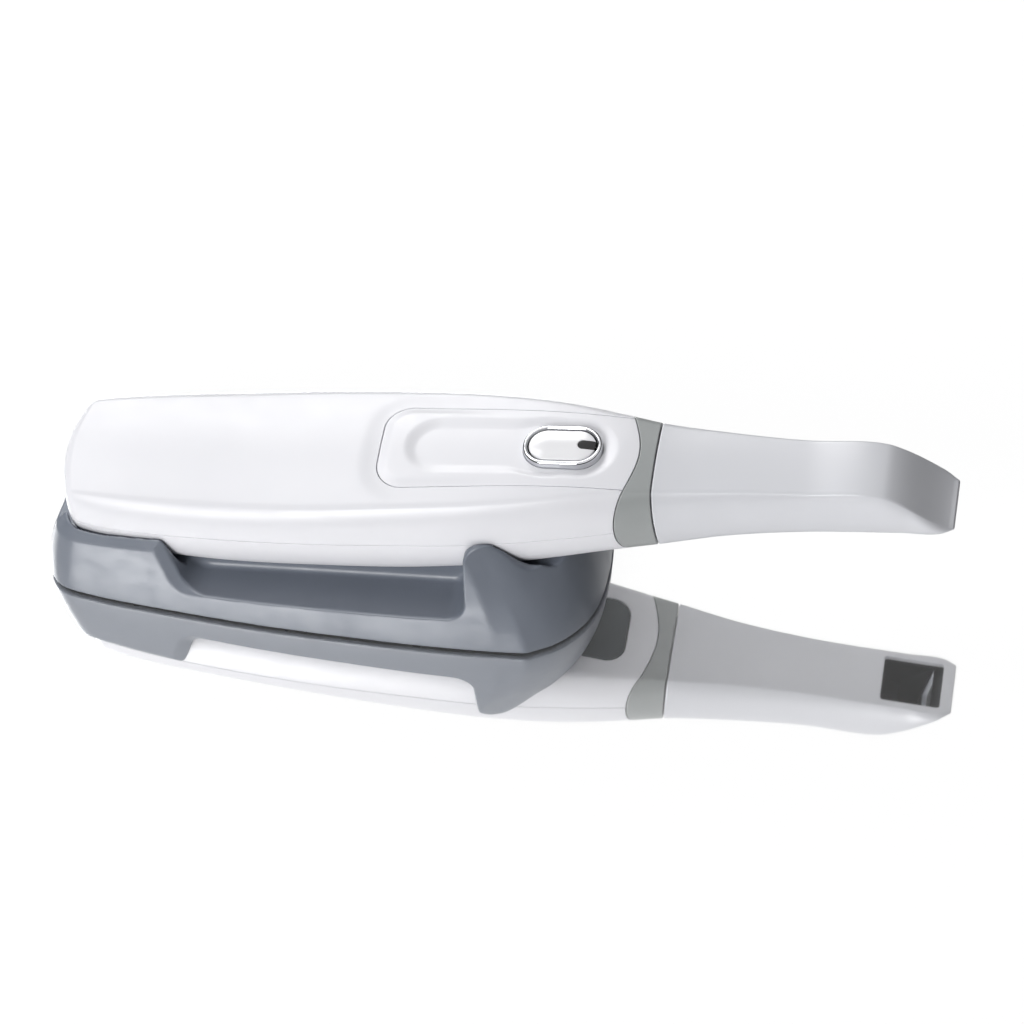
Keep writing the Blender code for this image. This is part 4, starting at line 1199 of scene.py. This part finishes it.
@dataclass
class Socket:
    """The turned cable socket in the tail, with its insulator and contact pins."""

    frame: WandFrame
    shop: Workshop
    start: float = 0.4
    end: float = 9.0
    radius: float = 5.0
    bore: float = 3.6
    floor: float = 7.0
    pins: int = 6
    pin_circle: float = 2.0
    pin_radius: float = 0.32

    def turned(self, profile: Table, centre: tuple[float, float] = (0.0, 0.0),
               steps: int = 64) -> tuple:
        """A profile of (station, radius) turned round a line along the wand; radius 0 closes an
        end.

        Args:
            profile: (station, radius) pairs.
            centre: (y, h) of the line.
            steps: Points round.

        Returns:
            Points in the row frame, and faces.
        """
        turn = np.linspace(0, 2 * math.pi, steps, endpoint=False)
        rings = [np.column_stack([np.full(steps, s), centre[0] + r * np.cos(turn),
                                  centre[1] + r * np.sin(turn)])
                 for s, r in profile]
        quads = rows_to_quads(len(rings), steps)
        points, index = np.unique(np.concatenate(rings), axis=0, return_inverse=True)
        tris = index.reshape(-1)[np.concatenate([quads[:, [0, 1, 2]], quads[:, [0, 2, 3]]])]
        return self.frame.place(points), without_slivers(tris)

    def build(self) -> None:
        """Makes the barrel, the insulator and the pins."""
        r, b = self.radius, self.bore
        barrel = [(self.end, 0.0), (self.end, r), (self.start + 0.3, r), (self.start, r - 0.3),
                  (self.start, b + 0.35), (self.start + 0.35, b), (self.floor, b),
                  (self.floor, 0.0)]
        points, faces = self.turned(barrel)
        self.shop.piece("socket_barrel", Body.WAND, "socket", Material.TURNED_NICKEL,
                        (points, faces, None),
                        "cable_socket")
        puck = [(self.floor - 0.02, 0.0), (self.floor - 0.02, b - 0.12),
                (self.floor - 1.9, b - 0.12),
                (self.floor - 2.1, b - 0.32), (self.floor - 2.1, 0.0)]
        points, faces = self.turned(puck)
        self.shop.piece("socket_insulator", Body.WAND, "socket", Material.SWITCH_PBT,
                        (points, faces, None))
        pins = []
        for angle in np.linspace(0, 2 * math.pi, self.pins, endpoint=False):
            centre = (self.pin_circle * math.cos(angle), self.pin_circle * math.sin(angle))
            profile = [(self.floor - 2.0, self.pin_radius), (self.floor - 4.4, self.pin_radius),
                       (self.floor - 4.8, self.pin_radius * 0.5), (self.floor - 4.85, 0.0)]
            pins.append(self.turned(profile, centre, 12))
        offsets = np.cumsum([0] + [len(p) for p, _ in pins[:-1]])
        points = np.concatenate([p for p, _ in pins])
        faces = np.concatenate([f + o for (_, f), o in zip(pins, offsets)])
        self.shop.piece("socket_pins", Body.WAND, "socket", Material.TURNED_NICKEL,
                        (points, faces, None))


# ---------------------------------------------------------------- the cradle
@dataclass
class CradleForm:
    """The cradle's body as a distance field in the row frame, negative inside.

    The plan is a closed outline in polar form, whose radius runs from the foot's outline to the
    rim's with the height's share to the power 1.6. The top edge, two finger scoops, the wand's
    seat, the cable notch and the rebate for the base plate are cut from it one by one, each edge
    rounded by its own radius. A bevel runs along the rear tabs' tops and dies out between
    bevel_end's two stations.
    """

    wand: WandForm
    frame: WandFrame
    foot_height: float = 1.0
    rim_height: float = 34.4
    lean_power: float = 1.6
    foot_outline: Table = ((-70.5, 0), (-70.5, 12.0), (-67.2, 20.0), (-58.0, 22.9), (-40.0, 25.2),
                           (-15.0, 27.6),
                           (12.0, 29.0), (34.0, 29.5), (52.0, 29.0), (59.4, 24.8), (65.2, 18.2),
                           (68.0, 10.0),
                           (68.8, 0))
    rim_outline: Table = ((-54.0, 0), (-60.6, 11.5), (-59.0, 17.6), (-48.0, 19.8), (-33.0, 21.8),
                          (-12.0, 23.4),
                          (6.0, 24.3), (18.0, 24.7), (30.0, 24.9), (43.0, 22.0), (52.0, 14.6),
                          (56.0, 6.4),
                          (56.8, 0))
    crease: int = 8
    corner_soft: float = 0.007
    rear_top: float = 23.2
    rear_rise: float = 0.1058
    rear_level: float = -60.0
    front_top: float = 34.2
    lip_start: float = 42.8
    lip_run: float = 11.6
    lip_fall: float = 9.6
    scoop_rear: tuple[float, float] = (-32.6, 9.0)
    scoop_lean: tuple[float, float] = (-12.8, 41.0)
    scoop_front: float = 37.4
    floor_slope: float = 0.0456
    scoop_round: float = 5.0
    bed_half: float = 15.6
    seat_clearance: float = 1.75
    side_clearance: float = 0.45
    tail_clearance: float = 0.9
    notch_half: float = 13.8
    notch_floor: float = 13.5
    notch_front: float = -50.0
    lip_round: float = 0.6
    bevel_turn: float = math.radians(24)
    bevel_height: float = 3.3
    bevel_end: tuple[float, float] = (-35.0, -27.0)
    rear_tab_round: float = 1.6
    front_tab_round: float = 4.4
    turns: int = 1440
    radii: Array = field(init=False, repr=False)
    slopes: Array = field(init=False, repr=False)

    def __post_init__(self) -> None:
        """Tabulates the outline's radius by angle for three shares of the height, its corners
        softened.

        The softening multiplies the radius's Fourier terms by a bell curve.
        """
        foot, rim = (np.concatenate([self._run(outline[:self.crease + 1]),
                                     self._run(outline[self.crease:])])
                     for outline in (self.foot_outline, self.rim_outline))
        turn = np.linspace(0, 2 * math.pi, self.turns, endpoint=False)
        rows = []
        for share in (0.0, 0.5, 1.0):
            half = foot + (rim - foot) * share
            ring = np.concatenate([half, half[::-1] * [1, -1]])
            rows.append(np.interp(turn, np.arctan2(ring[:, 1], ring[:, 0]), np.hypot(*ring.T),
                                  period=2 * math.pi))
        order = np.arange(self.turns // 2 + 1)
        waves = np.fft.rfft(np.array(rows)) * np.exp(-(order * self.corner_soft) ** 2 / 2)
        self.radii = np.fft.irfft(waves, self.turns)
        self.slopes = np.fft.irfft(waves * 1j * order, self.turns)

    def _run(self, corners: Table) -> Array:
        """Smooth curve through one run of an outline's points; two runs meet in a crease."""
        at = range(len(corners))
        dense = np.linspace(0, len(corners) - 1, 150 * (len(corners) - 1))
        return np.column_stack([smooth_curve(tuple(zip(at, column)), dense)
                                for column in zip(*corners)])

    def _read(self, table: Array, turn: Array) -> Array:
        """Periodic Catmull-Rom reading of each row of a table at an angle."""
        at = turn / (2 * math.pi) * self.turns
        i = np.floor(at).astype(int)
        t = at - i
        a, b, c, d = (table[:, (i + k) % self.turns] for k in (-1, 0, 1, 2))
        return b + 0.5 * t * (c - a + t * (2 * a - 5 * b + 4 * c - d + t * (3 * (b - c) + d - a)))

    def outline_distance(self, points: Array, height: Array) -> Array:
        """Distance to the outline at a height: the radius's excess over the slope's length.

        Args:
            points: Rows whose first two columns are x and y.
            height: Height at which the outline is taken.

        Returns:
            Distances, negative inside.
        """
        x, y = points[:, 0], points[:, 1]
        turn = np.arctan2(y, x) % (2 * math.pi)
        share = (np.maximum(height - self.foot_height, 1e-6)
                 / (self.rim_height - self.foot_height)) ** self.lean_power
        weight = np.stack([2 * (share - 0.5) * (share - 1), -4 * share * (share - 1),
                           2 * share * (share - 0.5)])
        radius = (self._read(self.radii, turn) * weight).sum(0)
        slope = (self._read(self.slopes, turn) * weight).sum(0)
        return (np.hypot(x, y) - radius) / np.sqrt(1 + (slope / radius) ** 2)

    def top_distance(self, points: Array) -> Array:
        """Distance over the top edge: level at the rear, and falling along a smooth step over the
        front lip.
        """
        x, z = points[:, 0], points[:, 2]
        rear = self.rear_top + self.rear_rise * np.maximum(x - self.rear_level, 0)
        t = np.clip((x - self.lip_start) / self.lip_run, 0, 1)
        front = self.front_top - self.lip_fall * (3 * t * t - 2 * t ** 3)
        slope = np.where(x < 0, self.rear_rise, self.lip_fall * 6 * t * (1 - t) / self.lip_run)
        return (z - np.where(x < 0, rear, front)) / np.sqrt(1 + slope ** 2)

    def scoop_distance(self, points: Array) -> Array:
        """Distance into the finger scoops, negative inside: floor, leaning rear end, upright front
        end, bed.
        """
        x, y, z = points.T
        floor = (self.scoop_rear[1] + self.floor_slope * (x - self.scoop_rear[0]) - z)
        lean = math.hypot(*self.scoop_lean)
        rear = -((x - self.scoop_rear[0]) * self.scoop_lean[1] - (z - self.scoop_rear[1])
                 * self.scoop_lean[0]) / lean
        ends = np.maximum(round_and(rear, floor, self.scoop_round),
                          round_and(x - self.scoop_front, floor, self.scoop_round))
        return round_and(ends, self.bed_half - np.abs(y), 2.0)

    def seat_distance(self, points: Array) -> Array:
        """Distance to the wand's lower half grown by its clearance and carried up, negative in the
        seat.

        Under the parting plane the section is an ellipse outside the creases and a parabola between
        them; each is divided by its own gradient's length.
        """
        s, y, h = self.frame.local(points).T
        at = np.clip(s, 0, 150)
        grow = self.seat_clearance
        side = smooth_curve(self.wand.half_width, at) + self.side_clearance
        crease = smooth_curve(self.wand.keel_half_width, at) + self.wand.crease_inset * grow
        depth = smooth_curve(self.wand.keel_depth, at) + grow
        drop = smooth_curve(self.wand.keel_drop, at)
        cos_turn, sin_turn = math.cos(self.wand.keel_turn), math.sin(self.wand.keel_turn)
        out = np.abs(y)
        low = np.minimum(h, 0)
        a = cos_turn + (out - crease) / (side - crease) * (1 - cos_turn)
        b = low * sin_turn / depth
        length = np.maximum(np.hypot(a, b), 1e-6)
        steep = np.hypot(a / length * (1 - cos_turn) / (side - crease),
                         b / length * sin_turn / depth)
        flank = (length - 1) / np.maximum(steep, 1e-6)
        dome = -low - depth - drop * (1 - np.minimum(out / crease, 1) ** 2)
        under = np.where(out > crease, flank, dome)
        section = np.where(h > 0, out - side, under)
        bow = self.wand.tail_bow * np.clip(out / 15, 0, 1) ** 2
        return round_and(section, bow - self.tail_clearance - s,
                         self.wand.tail_round + self.tail_clearance)

    def field(self, points: Array) -> Array:
        """The whole body's distance field."""
        z = points[:, 2]
        body = round_and(self.outline_distance(points, z), self.foot_height - z, 0.5)
        tab_round = np.where(points[:, 0] < 0, self.rear_tab_round, self.front_tab_round)
        tabs = round_and(self.top_distance(points), -self.scoop_distance(points), tab_round)
        height = self.bevel_height * (1 - ease(*self.bevel_end, points[:, 0]))
        bevel = (math.cos(self.bevel_turn) * self.outline_distance(points, z)
                 + math.sin(self.bevel_turn) * (tabs + height))
        body = round_and(body, np.where(height > 0.3, bevel, -FAR_AWAY), 0.3)
        body = round_and(body, tabs, self.lip_round)
        body = round_and(body, -self.seat_distance(points), self.lip_round)
        notch = round_and(np.abs(points[:, 1]) - self.notch_half, self.notch_floor - z, 4.0)
        body = round_and(body, -np.maximum(notch, points[:, 0] - self.notch_front), 0.6)
        rebate = np.maximum(self.outline_distance(points, np.full(len(z), self.foot_height)) + 1.4,
                            z - 3.3)
        cavity = np.maximum(np.maximum(np.abs(points[:, 0] + 1) - 50, np.abs(points[:, 1]) - 19.5),
                            z - 7.2)
        return np.maximum(body, -np.minimum(rebate, cavity))


@dataclass
class Cradle:
    """The desk cradle: its slate shell and the two seat pads."""

    form: WandForm
    frame: WandFrame
    shop: Workshop
    pads: tuple[tuple[str, float, float], ...] = (("rear", 18.0, 44.0), ("front", 92.0, 116.0))
    pad_gap: float = 0.3
    pad_wall: float = 1.0
    pad_corner: float = 2.0
    pad_round: float = 0.3
    pad_quarters: tuple[float, float] = (2.60, 3.40)
    side_quarter: float = 3.38
    grid_spare: float = 1.2

    def pad_surface(self, at: Array) -> Array:
        """The face that a pad's wall starts from, pad_gap below the wand's keel.

        Known fault: the wall rises from it into the wand's skin and leaves a gap over the seat,
        where it should hang from it down to the seat.
        """
        s, quarter = at.T
        return np.column_stack([s, *self.form.section(s, quarter, -self.pad_gap)])

    def build(self) -> None:
        """Makes the shell and the pads."""
        body = CradleForm(self.form, self.frame)
        low, high = (np.array(corner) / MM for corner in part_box("cradle_shell"))
        low, high = low - self.grid_spare, high + self.grid_spare
        near_z = ((10.5, 1.5), (23.5, 2.0), (34.0, 1.0), (1.0, 1.0))
        lines = (clustered(low[0], high[0], 0.95, 0.5, ((-36.0, 5.0), (38.5, 5.0), (-65.0, 5.0))),
                 clustered(low[1], high[1], 0.85, 0.45, ((-20.5, 4.5), (20.5, 4.5))),
                 clustered(low[2], high[2], 0.8, 0.5, near_z))
        mesh = SurfaceNet(body.field, lines).build()
        self.shop.piece("cradle_skin", Body.CRADLE, "cradle_shell", Material.SLATE_ABS, mesh,
                        "cradle_shell")
        for word, start, end in self.pads:
            outline = Edge(lambda p, at: -round_and(np.abs(at[:, 0] - (start + end) / 2)
                                                    - (end - start) / 2,
                                                    np.abs(p[:, 1]) - self.pad_half(at[:, 0]),
                                                    self.pad_corner), self.pad_round)
            pad = Shell(self.pad_surface, [outline], self.pad_wall)
            points, faces, normals = pad.build(
                Patch.sheet(np.linspace(start - 0.5, end + 0.5, 40),
                            np.linspace(*self.pad_quarters, 48)))
            self.shop.piece(f"{word}_pad_skin", Body.CRADLE, "seat_pad", Material.RUBBER,
                            (self.frame.place(points), faces,
                             self.frame.turn(normals.reshape(-1, 3))),
                            f"{word}_seat_pad")

    def pad_half(self, s: Array) -> Array:
        """Half width of a pad at a station."""
        return self.form.section(s, np.full(len(s), self.side_quarter), -self.pad_gap)[0]


# ---------------------------------------------------------------- what the shells hold
DRESSED: dict[str, Material] = {
    "base_mat": Material.RUBBER, "base_plate": Material.ZINC_STEEL,
    "ballast_weight": Material.CAST_ZINC,
    "base_screw_1": Material.ZINC_STEEL, "base_screw_2": Material.ZINC_STEEL,
    "base_screw_3": Material.ZINC_STEEL, "base_screw_4": Material.ZINC_STEEL,
    "housing_screw_1": Material.ZINC_STEEL, "housing_screw_2": Material.ZINC_STEEL,
    "nose_spigot": Material.BLASTED_ALUMINIUM, "spigot_mount": Material.BLASTED_ALUMINIUM,
    "chassis_deck": Material.BLASTED_ALUMINIUM, "heat_sink": Material.BLASTED_ALUMINIUM,
    "main_board": Material.SOLDER_MASK, "button_board": Material.SOLDER_MASK,
    "button_switch": Material.SWITCH_PBT, "camera_module": Material.BLACK_ANODISED,
    "projector_module": Material.BLACK_ANODISED, "camera_lens": Material.OPTICAL_GLASS,
    "projector_lens": Material.OPTICAL_GLASS, "front_window": Material.OPTICAL_GLASS,
    "tip_mirror": Material.SILVERED_GLASS,
}


# ---------------------------------------------------------------- studio
@dataclass(frozen=True)
class SoftBox:
    """A plain rectangular area lamp that looks at a point."""

    name: str
    at: tuple[float, float, float]
    size: tuple[float, float]
    watts: float

    def build(self, towards: tuple[float, float, float]) -> None:
        """Hangs the lamp.

        Args:
            towards: The point it looks at.
        """
        lamp = bpy.data.lights.new(self.name, "AREA")
        lamp.shape = "RECTANGLE"
        lamp.size, lamp.size_y = self.size
        lamp.energy = self.watts
        obj = bpy.data.objects.new(self.name, lamp)
        obj.location = self.at
        way = Vector(towards) - Vector(self.at)
        obj.rotation_euler = way.to_track_quat("-Z", "Y").to_euler()
        bpy.context.scene.collection.objects.link(obj)


@dataclass
class Studio:
    """Plain pale floor with a clear shine, white surroundings, soft lamps and the camera."""

    eye: tuple[float, float, float] = (0.2129, -0.7268, 0.9647)
    look: tuple[float, float, float] = (-0.1394, 0.6037, -0.7849)
    roll: float = -0.09404
    lens: float = 172.8
    floor_size: float = 6.0
    mirror_share: float = 0.95
    low_share: float = 0.1
    floor_lift: float = 0.35
    ambient: float = 0.08
    dark_rim: float = 26.0
    white_rim: float = 40.0
    rim_level: float = 0.02
    aim: tuple[float, float, float] = (0.04, 0.0, 0.02)
    lamps: tuple[SoftBox, ...] = (
        SoftBox("left_far", (-0.64, 1.59, 1.02), (0.90, 0.90), 16.7),
        SoftBox("near", (-0.63, -1.51, 1.14), (1.00, 0.80), 27.6),
        SoftBox("left_high", (-0.74, 0.45, 1.09), (0.60, 0.60), 5.2),
    )

    def camera(self) -> None:
        """Sets the camera: its axes come from the look direction, level first and then rolled."""
        data = bpy.data.cameras.new("camera")
        data.lens = self.lens
        data.clip_start, data.clip_end = 0.01, 20.0
        obj = bpy.data.objects.new("camera", data)
        look = Vector(self.look).normalized()
        right = look.cross(Vector((0, 0, 1))).normalized()
        up = right.cross(look)
        turned = math.cos(self.roll) * right + math.sin(self.roll) * up
        above = -math.sin(self.roll) * right + math.cos(self.roll) * up
        axes = Matrix((turned, above, -look)).transposed().to_4x4()
        obj.matrix_world = Matrix.Translation(Vector(self.eye)) @ axes
        bpy.context.scene.collection.objects.link(obj)
        bpy.context.scene.camera = obj

    def floor(self) -> None:
        """Polished white floor: mostly a clear reflection, and a matt white share that takes the
        shadow.

        Seen at a low angle it is mostly matt, so that it stays pale there.
        """
        half = self.floor_size * 500
        corners = np.array([(-half, -half, -0.1), (half, -half, -0.1), (half, half, -0.1),
                            (-half, half, -0.1)])
        material = bpy.data.materials.new("polished_white_acrylic")
        material.use_nodes = True
        tree = material.node_tree
        tree.nodes.clear()
        place = add_node(tree, "ShaderNodeTexCoord").outputs["Object"]
        haze = add_node(tree, "ShaderNodeTexNoise", {"Scale": 20.0, "Detail": 2.0},
                        {"Vector": place})
        blur = add_node(tree, "ShaderNodeMapRange", {"To Min": 0.02, "To Max": 0.05},
                        {"Value": haze.outputs[0]})
        shine = add_node(tree, "ShaderNodeBsdfGlossy", {"Color": (1, 1, 1, 1)},
                         {"Roughness": blur.outputs[0]})
        matt = add_node(tree, "ShaderNodeBsdfDiffuse", {"Color": srgb("#FFFFFF")})
        lift = add_node(tree, "ShaderNodeEmission", {"Strength": self.floor_lift})
        lit = add_node(tree, "ShaderNodeAddShader", links={0: matt.outputs[0], 1: lift.outputs[0]})
        facing = add_node(tree, "ShaderNodeLayerWeight", {"Blend": 0.5}).outputs["Facing"]
        seen = add_node(tree, "ShaderNodeLightPath").outputs["Is Camera Ray"]
        low = add_node(tree, "ShaderNodeMath", links={0: facing, 1: seen}, operation="MULTIPLY")
        share = add_node(tree, "ShaderNodeMapRange",
                         {"From Min": 0.32, "From Max": 0.55, "To Min": self.mirror_share,
                          "To Max": self.low_share},
                         {"Value": low.outputs[0]}, interpolation_type="SMOOTHSTEP")
        matt = add_node(tree, "ShaderNodeMixShader", links={0: seen, 1: matt.outputs[0],
                                                            2: lit.outputs[0]})
        both = add_node(tree, "ShaderNodeMixShader", links={0: share.outputs[0], 1: matt.outputs[0],
                                                            2: shine.outputs[0]})
        add_node(tree, "ShaderNodeOutputMaterial", links={"Surface": both.outputs[0]})
        obj = place_mesh("floor", corners, np.array([[0, 1, 2, 3]]), None, material)

    def surroundings(self) -> None:
        """White for camera, glossy and transmission rays, and a plain dimmer fill for the rest.

        Glossy rays see the white only above the dark rim of the studio, between dark_rim and
        white_rim over the horizon, so that polished edges get their contrast. A ray that has left a
        matt surface sees the fill.
        """
        world = bpy.data.worlds.new("studio")
        world.use_nodes = True
        tree = world.node_tree
        tree.nodes.clear()
        path = add_node(tree, "ShaderNodeLightPath").outputs
        way = add_node(tree, "ShaderNodeTexCoord").outputs["Generated"]
        height = add_node(tree, "ShaderNodeSeparateXYZ", links={0: way}).outputs["Z"]
        above = add_node(tree, "ShaderNodeMapRange",
                         {"From Min": math.sin(math.radians(self.dark_rim)),
                          "To Min": self.rim_level,
                          "From Max": math.sin(math.radians(self.white_rim))}, {"Value": height},
                         interpolation_type="SMOOTHSTEP")
        level = add_node(tree, "ShaderNodeMath",
                         links={0: above.outputs[0], 1: path["Is Camera Ray"]},
                         operation="MAXIMUM")
        seen = add_node(tree, "ShaderNodeMath",
                        links={0: path["Is Camera Ray"], 1: path["Is Glossy Ray"]},
                        operation="MAXIMUM")
        seen = add_node(tree, "ShaderNodeMath",
                        links={0: seen.outputs[0], 1: path["Is Transmission Ray"]},
                        operation="MAXIMUM")
        seen = add_node(tree, "ShaderNodeMath",
                        links={0: seen.outputs[0], 1: path["Diffuse Depth"]},
                        operation="SUBTRACT", use_clamp=True)
        fill = add_node(tree, "ShaderNodeBackground",
                        {"Color": (0.96, 0.98, 1.0, 1), "Strength": self.ambient})
        white = add_node(tree, "ShaderNodeBackground", {"Color": (1, 1, 1, 1)},
                         {"Strength": level.outputs[0]})
        both = add_node(tree, "ShaderNodeMixShader", links={0: seen.outputs[0], 1: fill.outputs[0],
                                                            2: white.outputs[0]})
        add_node(tree, "ShaderNodeOutputWorld", links={"Surface": both.outputs[0]})
        bpy.context.scene.world = world

    def build(self) -> None:
        """Sets up the whole studio and the plain view transform."""
        bpy.context.scene.view_settings.view_transform = "Standard"
        self.camera()
        self.floor()
        self.surroundings()
        for lamp in self.lamps:
            lamp.build(self.aim)


def main() -> None:
    """Loads the frame and builds the studio, the wand, its button and the cradle."""
    logging.basicConfig(level=logging.INFO, format="%(name)s: %(message)s")
    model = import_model()
    Studio().build()
    shop = Workshop()
    form = WandForm()
    frame = WandFrame.from_model(model["joints"])
    Housings(form, frame, shop).build()
    Tip(form, frame, shop).build()
    Button(form, frame, shop).build()
    Socket(frame, shop).build()
    Cradle(form, frame, shop).build()
    for name, kind in DRESSED.items():
        shop.dress(model["nodes"][name], kind)


if __name__ == "__main__":
    main()
